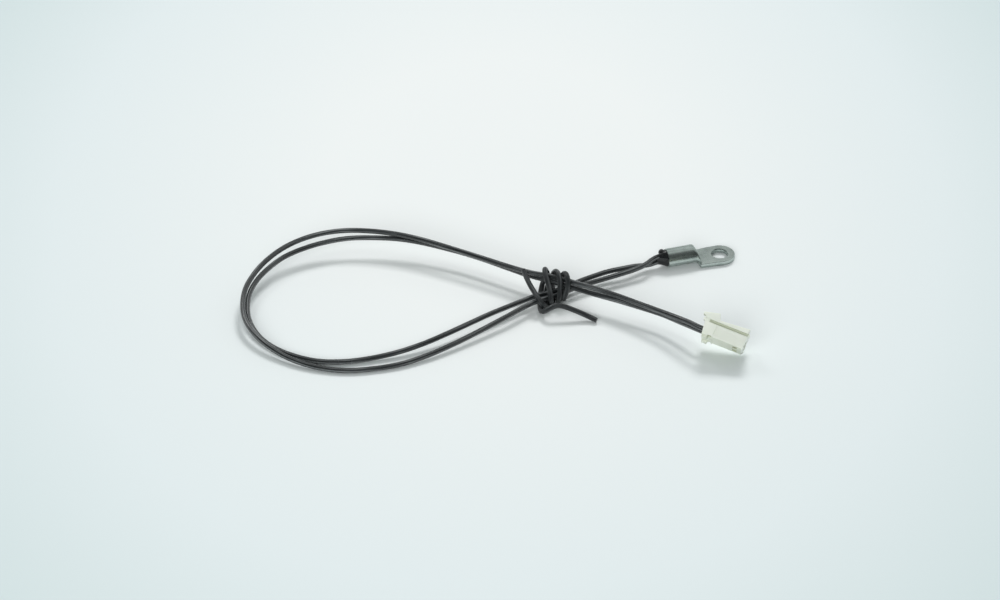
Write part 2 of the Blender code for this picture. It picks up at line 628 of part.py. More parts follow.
def add_ears(part, frame):
    """Two ears above the rear end and two small feet below it."""
    floor, root = HOUSING_FLOOR, GROOVE_HEIGHT + GROOVE_GAP + EDGE_ROUNDING
    ear = [(-EAR_REACH, EAR_NOTCH + 0.15), (-0.2, EAR_NOTCH), (0.1, root),
           (COLLAR_LENGTH + 0.3, root), (COLLAR_LENGTH - 0.2, EAR_TOP),
           (-EAR_REACH, EAR_TOP - REAR_RAKE)]
    foot = [(FOOT_START, floor - FOOT_DROP), (FOOT_END, floor - FOOT_DROP),
            (FOOT_END + 0.4, floor + 0.2), (FOOT_START, floor + 0.2)]
    for label, low_y, high_y in both_sides(HALF_WIDTH - EAR_WIDTH, HALF_WIDTH + COLLAR_STEP / 2):
        for kind, outline in (("top_ear_", ear), ("bottom_ear_", foot)):
            block = extruded(kind + label, outline, low_y, high_y, frame)
            join(part, round_edges(block, EDGE_ROUNDING))


def make_housing(look):
    frame = housing_frame()
    part = make_housing_body(frame)
    add_ears(part, frame)
    for label, low_y, high_y in both_sides(HALF_WIDTH - GROOVE_DEPTH, HALF_WIDTH + CUT_PAST):
        cut(part, box("side_groove_" + label, (COLLAR_LENGTH / 2, low_y, GROOVE_HEIGHT),
                      (HOUSING_LENGTH + CUT_PAST, high_y, GROOVE_HEIGHT + GROOVE_GAP), frame))
    channel = HALF_WIDTH - RAIL_WIDTH
    behind = -EAR_REACH - CUT_PAST
    cut(part, box("rail_channel", (behind, -channel, CHANNEL_FLOOR),
                  (HOUSING_LENGTH + CUT_PAST, channel, EAR_TOP + CUT_PAST), frame))
    for side, label in ((-1, "a"), (1, "b")):
        y = side * CAVITY_PITCH / 2
        cut(part, box("cavity_" + label, (behind, y - CAVITY_WIDTH / 2, CAVITY_FLOOR),
                      (HOUSING_LENGTH - NOSE_WALL, y + CAVITY_WIDTH / 2, CAVITY_ROOF), frame))
        cut(part, box("pin_hole_" + label,
                      (HOUSING_LENGTH - NOSE_WALL - CUT_PAST, y - PIN_HOLE / 2, -PIN_HOLE / 2),
                      (HOUSING_LENGTH + CUT_PAST, y + PIN_HOLE / 2, PIN_HOLE / 2), frame))
        cut(part, box("latch_window_" + label,
                      (WINDOW_START, y - WINDOW_WIDTH / 2, HOUSING_FLOOR - CUT_PAST),
                      (WINDOW_START + WINDOW_LENGTH, y + WINDOW_WIDTH / 2, 0), frame))
    return finish(part, look)


def crimp(name, start, end, inner, z, frame):
    """Rolled crimp barrel whose two wings meet over the wire with a narrow seam."""
    ring = rod(name, start, end, inner + CONTACT_WALL, z=z, frame=frame)
    cut(ring, rod(name + "_bore", start - CUT_PAST, end + CUT_PAST, inner, z=z, frame=frame))
    cut(ring, box(name + "_seam", (start - CUT_PAST, -SEAM_WIDTH / 2, z + inner / 2),
                  (end + CUT_PAST, SEAM_WIDTH / 2, z + inner + CUT_PAST), frame))
    return ring


def make_contact(name, side, look):
    """Crimped socket contact: box receptacle, latch, carrier strip and two crimps."""
    frame = housing_frame() @ Matrix.Translation(Vector((0, side * CAVITY_PITCH / 2, 0)) * MM)
    half_width, half_height = RECEPTACLE_WIDTH / 2, RECEPTACLE_HEIGHT / 2
    part = box(name, (RECEPTACLE_START, -half_width, -half_height),
               (RECEPTACLE_END, half_width, half_height), frame)
    round_edges(part, EDGE_ROUNDING)
    room_y, room_z = half_width - CONTACT_WALL, half_height - CONTACT_WALL
    cut(part, box(name + "_socket", (RECEPTACLE_START - CUT_PAST, -room_y, -room_z),
                  (RECEPTACLE_END + CUT_PAST, room_y, room_z), frame))
    strip_floor = STRIP_RISE - half_height
    join(part, box(name + "_strip", (STRIP_START, -STRIP_WIDTH / 2, strip_floor),
                   (RECEPTACLE_START + 2 * CONTACT_WALL, STRIP_WIDTH / 2, strip_floor + CONTACT_WALL),
                   frame))
    latch_start = WINDOW_START + (WINDOW_LENGTH - LATCH_LENGTH) / 2
    latch_root = EDGE_ROUNDING - half_height
    latch = [(latch_start, latch_root), (latch_start + LATCH_LENGTH, -half_height - LATCH_DROP),
             (latch_start + LATCH_LENGTH, latch_root)]
    join(part, extruded(name + "_latch", latch, -LATCH_WIDTH / 2, LATCH_WIDTH / 2, frame))
    join(part, crimp(name + "_grip", GRIP_START, GRIP_END, WIRE_DIAMETER / 2 + CLEARANCE, 0.0, frame))
    join(part, crimp(name + "_crimp", CRIMP_START, CRIMP_END, CONDUCTOR_DIAMETER / 2 + CLEARANCE,
                     -CONDUCTOR_DROP, frame))
    return finish(part, look)


def wire_points(side, route):
    """One wire end to end: conductor, insulation, free route, insulation and conductor again."""
    height = lead_height(side, WIRE_PITCH_IN_BARREL)
    cavity_y = -side * CAVITY_PITCH / 2
    mouth_run = (BARREL_MOUTH_X + WIRE_DIAMETER, BARREL_MOUTH_X, EPOXY_TIP_X)
    free = [(x, BARREL_SIDE, height) for x in mouth_run] + [from_probe(point) for point in route]
    free += [in_housing(x, cavity_y, 0) for x in WIRE_ENTRY]
    run = thinned(smooth_curve(free), 3.0, 14.0)
    insulation, conductor = WIRE_DIAMETER / 2, CONDUCTOR_DIAMETER / 2
    points = [(CONDUCTOR_START_X, BARREL_SIDE, height),
              (INSULATION_START_X + STRIP_STEP, BARREL_SIDE, height),
              (INSULATION_START_X, BARREL_SIDE, height)]
    radii = [conductor, conductor, insulation]
    points += [tuple(point) for point in run]
    radii += [insulation] * len(run)
    points += [in_housing(INSULATION_END, cavity_y, 0),
               in_housing(INSULATION_END + STRIP_STEP, cavity_y, 0),
               in_housing(CRIMP_START - CLEARANCE, cavity_y, -CONDUCTOR_DROP),
               in_housing(CONDUCTOR_END, cavity_y, -CONDUCTOR_DROP)]
    radii += [insulation, conductor, conductor, conductor]
    return points, radii


def make_wire(name, side, route, look):
    points, radii = wire_points(side, route)
    return finish(tube(name, points, radii), look)


def buried_end(side, route):
    """The stretch of a wire that the epoxy surrounds, and a little more."""
    points, _ = wire_points(side, route)
    beyond = next(i for i, point in enumerate(points) if point[0] < EPOXY_TIP_X - CUT_PAST)
    return points[2:beyond + 1]


def make_tie(look):
    run = thinned(smooth_curve([from_probe(point) for point in ROUTE_TIE]), 2.0, 24.0)
    return finish(tube("lead_tie", run, [WIRE_DIAMETER / 2] * len(run)), look)


for old in list(bpy.data.objects):
    bpy.data.objects.remove(old)
PARTS = collection("bead_thermistor")
CUTTERS = collection("construction")

tinned = material("tinned_copper", (0.60, 0.61, 0.59), 0.24, 1.0)
epoxy = material("black_epoxy", (0.018, 0.020, 0.021), 0.14)
pvc_black = material("black_insulation", (0.030, 0.033, 0.035), 0.38)
nylon = material("natural_nylon", (0.80, 0.83, 0.74), 0.42)
glass = material("bead_coating", (0.10, 0.045, 0.020), 0.15)
lead_metal = material("bead_lead_metal", (0.66, 0.58, 0.48), 0.3, 1.0)
sleeve = material("lead_sleeve", (0.72, 0.68, 0.50), 0.4)
contact_metal = material("contact_metal", (0.68, 0.66, 0.60), 0.28, 1.0)

WIRES = (("a", 1, ROUTE_A), ("b", -1, ROUTE_B))
make_ring_terminal(tinned)
make_bead(glass)
make_epoxy(epoxy, {label: buried_end(side, route) for label, side, route in WIRES})
for label, side, route in WIRES:
    make_bead_lead("bead_lead_" + label, side, lead_metal)
    make_lead_sleeve("lead_sleeve_" + label, side, sleeve)
    make_wire("wire_" + label, side, route, pvc_black)
    make_contact("contact_" + label, -side, contact_metal)
make_housing(nylon)
make_tie(pvc_black)
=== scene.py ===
"""Looks of the ring-lug bead thermistor: camera, cords, fine shapes, materials, floor and light.

Lengths are in millimetres in the part's own frame, as in the part's source, and MM turns them into
metres. The lug lies along X with its ring at +X, and Z is up.
"""
import math

import bmesh
import bpy
import numpy as np
from mathutils import Matrix, Vector


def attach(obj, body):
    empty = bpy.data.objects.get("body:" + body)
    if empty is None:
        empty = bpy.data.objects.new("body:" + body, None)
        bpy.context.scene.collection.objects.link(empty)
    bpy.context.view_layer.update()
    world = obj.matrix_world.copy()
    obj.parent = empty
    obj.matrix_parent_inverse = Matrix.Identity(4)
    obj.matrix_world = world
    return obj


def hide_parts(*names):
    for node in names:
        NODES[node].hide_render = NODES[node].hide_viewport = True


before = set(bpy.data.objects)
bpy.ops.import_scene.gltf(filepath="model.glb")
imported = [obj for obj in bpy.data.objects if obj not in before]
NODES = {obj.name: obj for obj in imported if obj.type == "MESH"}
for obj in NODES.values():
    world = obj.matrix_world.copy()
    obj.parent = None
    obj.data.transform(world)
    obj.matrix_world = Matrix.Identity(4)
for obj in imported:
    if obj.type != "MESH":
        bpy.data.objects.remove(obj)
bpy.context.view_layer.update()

MM = 0.001

# Camera, at the angle of the photograph. SEEN_FROM and SEEN_TO are in metres.
LOOK_AT = (-46.77, -1.02, 0.0)
CAMERA_PLACE = (-199.7, -483.0, 354.1)
CAMERA_LENS = 100.0
SENSOR_WIDTH = 36.0
SEEN_FROM = 0.02
SEEN_TO = 20.0

# Lamps: azimuth and elevation in degrees, distance and size in metres, power in watts, and colour.
WINDOW = (58.0, 45.0, 1.8, (0.56, 0.42), 17.6, (1.0, 0.985, 0.985))
FILL = (235.0, 28.0, 1.4, (0.9, 0.6), 11.6, (0.98, 1.0, 0.99))
GLINT = (112.0, 45.0, 1.2, (0.26, 0.26), 1.0, (1.0, 1.0, 1.0))

# Room: grey levels by elevation in degrees, on the camera's side and on the window's, and their
# tint. One side turns into the other within SIDE_BLEND of the middle, in parts of the direction's
# length. The camera itself sees the plain BACKDROP.
CAMERA_SIDE = ((0.0, 0.09), (40.0, 0.09), (66.0, 0.16), (78.0, 0.66), (90.0, 0.70))
FAR_SIDE = ((0.0, 0.62), (18.0, 0.60), (36.0, 0.50), (52.0, 0.80), (66.0, 0.62), (72.0, 0.45),
            (80.0, 0.62), (90.0, 0.70))
ROOM_TINT = (0.96, 1.0, 0.99)
SIDE_BLEND = 0.12
BACKDROP = (0.78, 0.85, 0.85)

# Paper floor, in metres, with a painted pool of light in its colour. It is palest at GLOW_CENTRE,
# measured from its middle, and darkens as far as GLOW_REACH in ovals, GLOW_OVAL times as long as
# wide and turned by GLOW_TURN degrees. GLOW is its colours by the part of that way.
PAPER_REACH = 1.6
PAPER_HEIGHT = -0.00001
GLOW_CENTRE = (0.015, 0.048, 0.0)
GLOW_OVAL = 1.43
GLOW_TURN = -17.6
GLOW_REACH = 0.2
GLOW = ((0.2, (0.81, 0.84, 0.84)), (0.52, (0.72, 0.785, 0.80)), (0.73, (0.615, 0.705, 0.715)),
        (1.0, (0.53, 0.63, 0.64)))

# Colour sockets of a Mix node.
MIX_A, MIX_B, MIX_RESULT = 6, 7, 2

# Sizes of the solids that the pieces here repeat.
CLEARANCE = 0.05
PROBE_LENGTH = 18.6
TUBE_WALL = 0.55
BARREL_DIAMETER = 4.2
BARREL_LENGTH = 6.1
BARREL_SIDE = 0.55
SHOULDER_LENGTH = 1.4
SHOULDER_STEEPEST = 78.0
TONGUE_WIDTH = 5.8
TONGUE_LAP = 0.35
TONGUE_EDGE = 0.12
RING_DIAMETER = 6.65
HOLE_DIAMETER = 3.7
HOLE_SET_BACK = 0.15
HOLE_CHAMFER = 0.12
BEAD_SET_BACK = 1.15
WIRE_DIAMETER = 1.16
CONDUCTOR_DIAMETER = 0.40
INSULATION_SET_BACK = 3.15
STRIPPED_LENGTH = 1.2
STRIP_STEP = 0.02
EPOXY_LENGTH = 2.4
BLOB_RADIUS = 0.9
BLOB_BEHIND = 0.85
BLOB_SIDE = 0.75
BLOB_RISE = 1.15
HOUSING_REAR = (-10.5, -32.2, 5.1)
HOUSING_HEADING = -38.1
HOUSING_NOSE_DOWN = 12.0
HOUSING_ROLL = -51.0
HOUSING_LENGTH = 9.4
HOUSING_WIDTH = 5.8
HOUSING_FLOOR = -1.35
GROOVE_HEIGHT = 1.55
GROOVE_GAP = 0.65
GROOVE_DEPTH = 0.65
RAIL_TOP_REAR = 2.65
RAIL_TOP_NOSE = 3.3
RAIL_WIDTH = 1.2
CHANNEL_FLOOR = 2.3
COLLAR_LENGTH = 2.4
COLLAR_STEP = 0.12
REAR_RAKE = 0.85
EAR_WIDTH = 1.5
EAR_TOP = 4.15
EAR_NOTCH = 2.6
EAR_REACH = 1.25
FOOT_DROP = 0.65
FOOT_START = 0.15
FOOT_END = 1.3
CAVITY_PITCH = 2.5
CAVITY_WIDTH = 2.0
CAVITY_FLOOR = -1.05
CAVITY_ROOF = 1.2
PIN_HOLE = 1.2
NOSE_WALL = 0.7
WINDOW_START = 7.05
WINDOW_LENGTH = 1.05
WINDOW_WIDTH = 1.4
WIRE_ENTRY = (-1.4, -0.4, 0.5, 1.1)
CRIMP_START = 2.05
INSULATION_END = 1.65
CONDUCTOR_END = 3.4
CONDUCTOR_DROP = 0.3
CUT_PAST = 1.0

# How finely round shapes are drawn: sides of a section, steps along it, and for a route the length
# of a step and the rounds of evening out.
TUBE_SIDES = 96
SHOULDER_STEPS = 28
EPOXY_SIDES = 72
EPOXY_STEPS = 20
WIRE_SIDES = 18
WIRE_STEP = 0.4
WIRE_ROUNDS = 6
TIE_SIDES = 20
TIE_STEP = 0.25
TIE_ROUNDS = 8

# Edges are rounded where faces meet at more than ROUNDED_ABOVE degrees. BARREL_LIP gives distances
# from the barrel's mouth with how far its edge stands in there. The bore ends where the tube is
# BORE_END_WALLS walls high, and TIE_END is how wide the tie's ends are beside the rest of it.
ROUNDED_ABOVE = 28.0
BARREL_LIP = ((0.0, 0.10), (0.03, 0.03), (0.1, 0.0))
BORE_END_WALLS = 2.5
TIE_END = 0.9
WELD_DISTANCE = 0.001
BODY_EDGE = 0.12
COLLAR_EDGE = 0.07
EAR_EDGE = 0.11
FOOT_EDGE = 0.09
GROOVE_EDGE = 0.05
CHANNEL_EDGE = 0.08

# The barrel's -Y side bulges by BARREL_BULGE at BULGE_FULLEST, and fades to none at the two other
# angles, all in degrees up from that side. It is gone where the tube is 1 / BULGE_FADE flat. The
# tongue's far edge bulges between the ring and the shoulder.
BARREL_BULGE = 0.2
BULGE_TOP = 24.0
BULGE_FULLEST = -12.0
BULGE_FOOT = -75.0
BULGE_FADE = 4
FAR_EDGE_BULGE = 0.22
FAR_EDGE_POWER = 1.5
FAR_EDGE_STEPS = 12

# The epoxy's rim lies a little inside the barrel's edge and outside its mouth. From there the epoxy
# draws in, faster in width than in height, with a small lip over the first LIP_PART of the way.
RIM_INSET = 0.03
RIM_OUT = 0.02
PLUG_IN = 0.2
LIP_DEPTH = 0.08
LIP_PART = 0.06
WIDTH_POWER = 2.4
HEIGHT_POWER = 1.7
BLOB_SQUASH = 0.94
EPOXY_VOXEL = 0.07
SOFTEN_FACTOR = 0.5
SOFTEN_ROUNDS = 4
RIPPLE_START = 0.1
RIPPLE_HEIGHT = 0.03

# The housing's nose has a cut corner, its collar stands out more than the solid's, and its pieces
# overlap by PIECE_LAP where they join. A shallow pocket lies beside each foot. The ear's neck is
# where its notch ends, and its rises are measured from EAR_NOTCH.
NOSE_CUT = 0.3
NOSE_RISE = 0.5
BODY_REAR_DROP = 0.4
COLLAR_EXTRA = 0.06
PIECE_LAP = 0.1
POCKET_START = 1.3
POCKET_END = 2.2
POCKET_WIDTH = 0.9
POCKET_DEPTH = 0.1
EAR_TAIL_RISE = 0.15
EAR_NECK_RISE = 0.05
EAR_NECK_X = -0.6
EAR_ROOT_X = -0.5
EAR_PAST_COLLAR = 0.3
EAR_TOP_SHORT = 0.2
FOOT_SLOPE = 0.4
FOOT_LAP = 0.2

# The three levels of painted shade darken the colour of the housing's recesses and underside, and
# NEAR is the tolerance for telling which of them a face lies in. The last five bound what counts as
# cavity and as notch.
DEEP_SHADE = 1.0
GROOVE_SHADE = 0.5
UNDERSIDE_SHADE = 0.35
NEAR = 0.01
CAVITY_END_GAP = 0.05
CAVITY_SIDE_GAP = 0.3
NOTCH_FRONT_X = -0.3
NOTCH_MIDDLE_RISE = 0.1
NOTCH_HALF_HEIGHT = 0.12

# Routes of the cords, as in the part's source but for a slight droop just behind the epoxy.
ROUTE_A = [
    (-10.6, 0.15, 2.5), (-12.7, -1.25, 2.55), (-15.3, -1.85, 2.25), (-18.6, -2.4, 2.15),
    (-22, -2.8, 2), (-25.5, -3.3, 1.95), (-29, -3.9, 1.95), (-32.7, -5, 2), (-36.3, -5.9, 2),
    (-39.8, -6.7, 2.1), (-43.5, -8.2, 2.2), (-47.8, -10.2, 2.1), (-52.6, -12.1, 1.8),
    (-57.8, -14.1, 1.5), (-63.3, -16, 1.2), (-69.2, -17.6, 0.9), (-74.8, -18.4, 0.7),
    (-81, -18.1, 0.62), (-86.6, -16.9, 0.62), (-91.9, -14.2, 0.7), (-95.9, -10.9, 0.95),
    (-98.9, -7.2, 1.3), (-101.4, -2.8, 1.85), (-102.8, 1.6, 2.35), (-103.2, 6, 2.7),
    (-102.4, 10.8, 3.05), (-100.7, 15.4, 3.45), (-98.1, 19.4, 3.75), (-94.8, 23, 4.1),
    (-89.6, 26.8, 4.5), (-84.5, 28.8, 4.8), (-79.5, 29.3, 5.1), (-74.3, 28.6, 5.3),
    (-68.9, 26.7, 5.3), (-63.6, 23.9, 5.2), (-58.9, 20.4, 5.05), (-54.9, 16.7, 4.9),
    (-50.9, 12.7, 4.8), (-47, 8.6, 4.75), (-43.2, 4.5, 4.75), (-39.3, 0.6, 4.8),
    (-35.1, -2.4, 4.8), (-31.2, -6, 4.75), (-27.3, -9.7, 4.65), (-23.6, -13.7, 4.65),
    (-20.1, -18.2, 4.75), (-16.7, -23, 5.1), (-13.9, -28, 5.85), (-12.8, -30.4, 6.3)]
ROUTE_B = [
    (-10.6, 0.45, 1.2), (-12.2, 0.25, 1.35), (-14.6, -0.1, 1.85), (-17.9, -0.6, 2.2),
    (-21.2, -0.6, 2.1), (-24.8, -1.2, 2), (-28.4, -2, 1.9), (-32.1, -3.2, 1.85),
    (-35.7, -4.2, 1.95), (-39.1, -4.7, 2.1), (-42.7, -5.7, 2.2), (-46.8, -7.1, 2.3),
    (-51.5, -8.6, 2.3), (-56.6, -10.3, 2.1), (-62.2, -12.2, 1.9), (-68, -13.7, 1.5),
    (-73.7, -14.5, 1.1), (-79.9, -14.5, 0.75), (-85.8, -13.8, 0.62), (-91.3, -11.9, 0.62),
    (-95.4, -8.8, 0.62), (-98.5, -5.2, 0.62), (-100.7, -1.1, 0.7), (-101.8, 2.8, 1),
    (-102.1, 6.2, 1.55), (-101.4, 10.8, 2.1), (-99.9, 14.8, 2.55), (-97.3, 18.7, 2.9),
    (-93.9, 22, 3.2), (-89.5, 25.1, 3.4), (-84.6, 26.8, 3.6), (-79.5, 27.5, 3.8),
    (-74.2, 27.3, 3.95), (-68.7, 25.8, 4), (-63.2, 23.6, 3.95), (-58.4, 20.7, 3.8),
    (-54.2, 17.4, 3.65), (-50.1, 13.8, 3.5), (-46.4, 9.9, 3.45), (-42.8, 5.7, 3.4),
    (-39, 1.3, 3.4), (-35.1, -2.3, 3.45), (-31.2, -6.3, 3.4), (-27.4, -10, 3.35),
    (-23.5, -13.7, 3.35), (-19.8, -17.6, 3.4), (-16.2, -21.7, 3.5), (-13.4, -26.4, 3.85),
    (-12.1, -28.9, 4.2)]
ROUTE_TIE = [
    (-40.8, 0.75, 5.8), (-40.7, -0.5, 5.15), (-40.6, -1.85, 4.6), (-40.45, -3.2, 4.1),
    (-40.25, -4.7, 3.7), (-40.1, -6.35, 3.5), (-39.9, -8, 3.2), (-39.3, -8.45, 2.2),
    (-38.35, -8.1, 1.15), (-37.9, -6.9, 0.7), (-37.15, -4.8, 0.63), (-36.55, -2.8, 0.65),
    (-35.85, -1.25, 1.1), (-35.15, -0.35, 2.2), (-35.2, 0.05, 3.6), (-35.65, -0.05, 4.9),
    (-36.1, -0.45, 5.8), (-36.45, -1.25, 6.1), (-36.65, -2.1, 5.95), (-36.7, -3.45, 5.15),
    (-36.7, -4.95, 4.25), (-36.9, -6.8, 3.25), (-37, -7.55, 2.1), (-36.7, -7.15, 1.05),
    (-36.15, -5.95, 0.65), (-35.55, -4.25, 0.63), (-34.9, -2.5, 0.65), (-34.45, -0.85, 0.8),
    (-34.1, 0.5, 1.8), (-33.95, 0.35, 3.4), (-33.95, -0.9, 4.9), (-34.05, -2.25, 5.9),
    (-34.05, -3.2, 6.15), (-34.05, -4.3, 5.85), (-34.15, -5.3, 4.9), (-34.45, -6.1, 3.6),
    (-34.8, -6.8, 2.5), (-35.05, -7.05, 1.7), (-35, -6.6, 0.9), (-34.65, -5.5, 0.65),
    (-33.95, -3.6, 0.65), (-33.05, -2, 0.85), (-32.6, -1.3, 2.2), (-32.6, -1.95, 4),
    (-32.55, -2.8, 5.3), (-32.45, -3.9, 6.05), (-32.5, -4.8, 6.2), (-32.6, -5.9, 5.8),
    (-32.75, -6.6, 4.6), (-33.15, -6.7, 3.1), (-33.6, -6.8, 2), (-33.65, -6.45, 1.2),
    (-33.35, -5.6, 0.7), (-32.8, -4.2, 0.65), (-31.8, -2.4, 0.65), (-31.05, -0.75, 0.75),
    (-31.45, 1.05, 1.1), (-32.85, 1.9, 1.5), (-34.4, 1.95, 1.8), (-35.7, 1.15, 1.95),
    (-36.55, -0.25, 1.95), (-37.2, -1.4, 1.55), (-37.85, -2.7, 1), (-38.4, -4.1, 0.7),
    (-38.9, -5.5, 0.62), (-39.4, -7.1, 0.62), (-39.75, -8.8, 0.8), (-39.5, -10.2, 1.5),
    (-38.6, -10.8, 2.4), (-37.4, -10.9, 2.95), (-36.2, -11.1, 3), (-35.1, -11.6, 2.75),
    (-33.75, -12.35, 2.3), (-32.2, -13.25, 1.7), (-30.5, -14.4, 1), (-29.2, -15.7, 0.62)]

AXIS_HEIGHT = BARREL_DIAMETER / 2
BORE = BARREL_DIAMETER - 2 * TUBE_WALL
TONGUE_THICKNESS = 2 * TUBE_WALL
RING_X = PROBE_LENGTH / 2 - RING_DIAMETER / 2
HOLE_X = RING_X - HOLE_SET_BACK
EPOXY_TIP_X = -PROBE_LENGTH / 2
BARREL_MOUTH_X = EPOXY_TIP_X + EPOXY_LENGTH
SHOULDER_X = BARREL_MOUTH_X + BARREL_LENGTH
SHOULDER_END_X = SHOULDER_X + SHOULDER_LENGTH
BEAD_X = SHOULDER_X - BEAD_SET_BACK
INSULATION_START_X = BEAD_X - INSULATION_SET_BACK
CONDUCTOR_START_X = INSULATION_START_X + STRIPPED_LENGTH
WIRE_PITCH_IN_BARREL = WIRE_DIAMETER + 4 * CLEARANCE
HALF_WIDTH = HOUSING_WIDTH / 2
CHANNEL_SIDE = HALF_WIDTH - RAIL_WIDTH
GROOVE_START = COLLAR_LENGTH / 4


# Objects and camera

def link(name, data):
    made = bpy.data.objects.new(name, data)
    bpy.context.scene.collection.objects.link(made)
    return made


def make_camera():
    data = bpy.data.cameras.new("photo_camera")
    data.lens = CAMERA_LENS
    data.sensor_width = SENSOR_WIDTH
    data.clip_start = SEEN_FROM
    data.clip_end = SEEN_TO
    camera = link("photo_camera", data)
    place, target = Vector(CAMERA_PLACE) * MM, Vector(LOOK_AT) * MM
    camera.location = place
    camera.rotation_euler = (target - place).to_track_quat("-Z", "Y").to_euler()
    bpy.context.scene.camera = camera


# Mesh helpers

def from_shape(name, shape):
    bmesh.ops.recalc_face_normals(shape, faces=shape.faces)
    mesh = bpy.data.meshes.new(name)
    shape.to_mesh(mesh)
    shape.free()
    return link(name, mesh)


def block(name, low, high):
    shape = bmesh.new()
    bmesh.ops.create_cube(shape, size=1.0)
    low, high = Vector(low) * MM, Vector(high) * MM
    bmesh.ops.scale(shape, vec=high - low, verts=shape.verts)
    bmesh.ops.translate(shape, vec=(low + high) / 2, verts=shape.verts)
    return from_shape(name, shape)


def extruded(name, outline, low_y, high_y):
    shape = bmesh.new()
    near = [shape.verts.new(Vector((x, low_y, z)) * MM) for x, z in outline]
    far = [shape.verts.new(Vector((x, high_y, z)) * MM) for x, z in outline]
    shape.faces.new(near)
    shape.faces.new(far)
    for i in range(len(near)):
        j = (i + 1) % len(near)
        shape.faces.new((near[i], near[j], far[j], far[i]))
    return from_shape(name, shape)


def skin(shape, rings):
    """Faces along a row of rings of vertices, closed at both ends."""
    for ring, following in zip(rings, rings[1:]):
        for i in range(len(ring)):
            j = (i + 1) % len(ring)
            shape.faces.new((ring[i], ring[j], following[j], following[i]))
    shape.faces.new(rings[0])
    shape.faces.new(rings[-1])


def loft(name, sections):
    shape = bmesh.new()
    rings = [[shape.verts.new(Vector(point) * MM) for point in section] for section in sections]
    skin(shape, rings)
    return from_shape(name, shape)


def apply_modifiers(target):
    graph = bpy.context.evaluated_depsgraph_get()
    graph.update()
    mesh = bpy.data.meshes.new_from_object(target.evaluated_get(graph))
    target.modifiers.clear()
    old = target.data
    target.data = mesh
    bpy.data.meshes.remove(old)


def combined(target, other, operation):
    """Apply a Boolean with another shape, which is used up."""
    change = target.modifiers.new("change", "BOOLEAN")
    change.operation = operation
    change.solver = "EXACT"
    change.object = other
    apply_modifiers(target)
    bpy.data.objects.remove(other)
    return target


def rounded(target, width, segments=3):
    bevel = target.modifiers.new("round", "BEVEL")
    bevel.width = width * MM
    bevel.segments = segments
    bevel.limit_method = "ANGLE"
    bevel.angle_limit = math.radians(ROUNDED_ABOVE)
    apply_modifiers(target)
    return target


def smooth(target, angle):
    target.data.shade_smooth()
    target.data.set_sharp_from_angle(angle=math.radians(angle))
    return target


# Curves

def smooth_curve(points, step):
    """Closely spaced points on a centripetal Catmull-Rom curve through the given ones."""
    points = np.asarray(points, float)
    padded = np.vstack([2 * points[0] - points[1], points, 2 * points[-1] - points[-2]])
    drawn = []
    for p0, p1, p2, p3 in zip(padded, padded[1:], padded[2:], padded[3:]):
        t1 = math.sqrt(np.linalg.norm(p1 - p0))
        t2 = t1 + math.sqrt(np.linalg.norm(p2 - p1))
        t3 = t2 + math.sqrt(np.linalg.norm(p3 - p2))
        count = max(2, int(np.linalg.norm(p2 - p1) / step) + 1)
        for t in np.linspace(t1, t2, count, endpoint=False):
            a1 = (t1 - t) / t1 * p0 + t / t1 * p1
            a2 = ((t2 - t) * p1 + (t - t1) * p2) / (t2 - t1)
            a3 = ((t3 - t) * p2 + (t - t2) * p3) / (t3 - t2)
            b1 = (t2 - t) / t2 * a1 + t / t2 * a2
            b2 = ((t3 - t) * a2 + (t - t1) * a3) / (t3 - t1)
            drawn.append(((t2 - t) * b1 + (t - t1) * b2) / (t2 - t1))
    drawn.append(points[-1])
    return np.array(drawn)


def relaxed(curve, rounds):
    """Even out small kinks of a given route, with its ends kept."""
    curve = curve.copy()
    for _ in range(rounds):
        curve[1:-1] = 0.25 * curve[:-2] + 0.5 * curve[1:-1] + 0.25 * curve[2:]
    return curve


def tube_mesh(name, path, radii, sides):
    """A round tube along a path, without twist. Its attribute lay says how far round and along."""
    path = np.asarray(path, float)
    tangents = np.gradient(path, axis=0)
    tangents /= np.linalg.norm(tangents, axis=1)[:, None]
    across = np.cross(tangents[0], (0.0, 0.3, 1.0))
    runs = np.concatenate([[0.0], np.cumsum(np.linalg.norm(np.diff(path, axis=0), axis=1))])
    angles = np.linspace(0, 2 * math.pi, sides, endpoint=False)
    shape = bmesh.new()
    rings = []
    lay = []
    for place, tangent, radius, run in zip(path, tangents, radii, runs):
        across = across - tangent * np.dot(across, tangent)
        across /= np.linalg.norm(across)
        up = np.cross(tangent, across)
        ring = []
        for angle in angles:
            point = place + radius * (math.cos(angle) * across + math.sin(angle) * up)
            ring.append(shape.verts.new(Vector(point) * MM))
            lay.append((math.cos(angle), math.sin(angle), run))
        rings.append(ring)
    skin(shape, rings)
    made = from_shape(name, shape)
    attribute = made.data.attributes.new("lay", "FLOAT_VECTOR", "POINT")
    attribute.data.foreach_set("vector", np.array(lay, np.float32).ravel())
    return smooth(made, angle=40.0)


# Cords

def lead_height(side):
    return AXIS_HEIGHT + side * WIRE_PITCH_IN_BARREL / 2


def housing_matrix():
    turn = (Matrix.Rotation(math.radians(HOUSING_HEADING), 4, "Z")
            @ Matrix.Rotation(math.radians(HOUSING_NOSE_DOWN), 4, "Y")
            @ Matrix.Rotation(math.radians(HOUSING_ROLL), 4, "X"))
    return Matrix.Translation(Vector(HOUSING_REAR) * MM) @ turn


def in_housing(x, y, z):
    return tuple(housing_matrix() @ (Vector((x, y, z)) * MM) / MM)


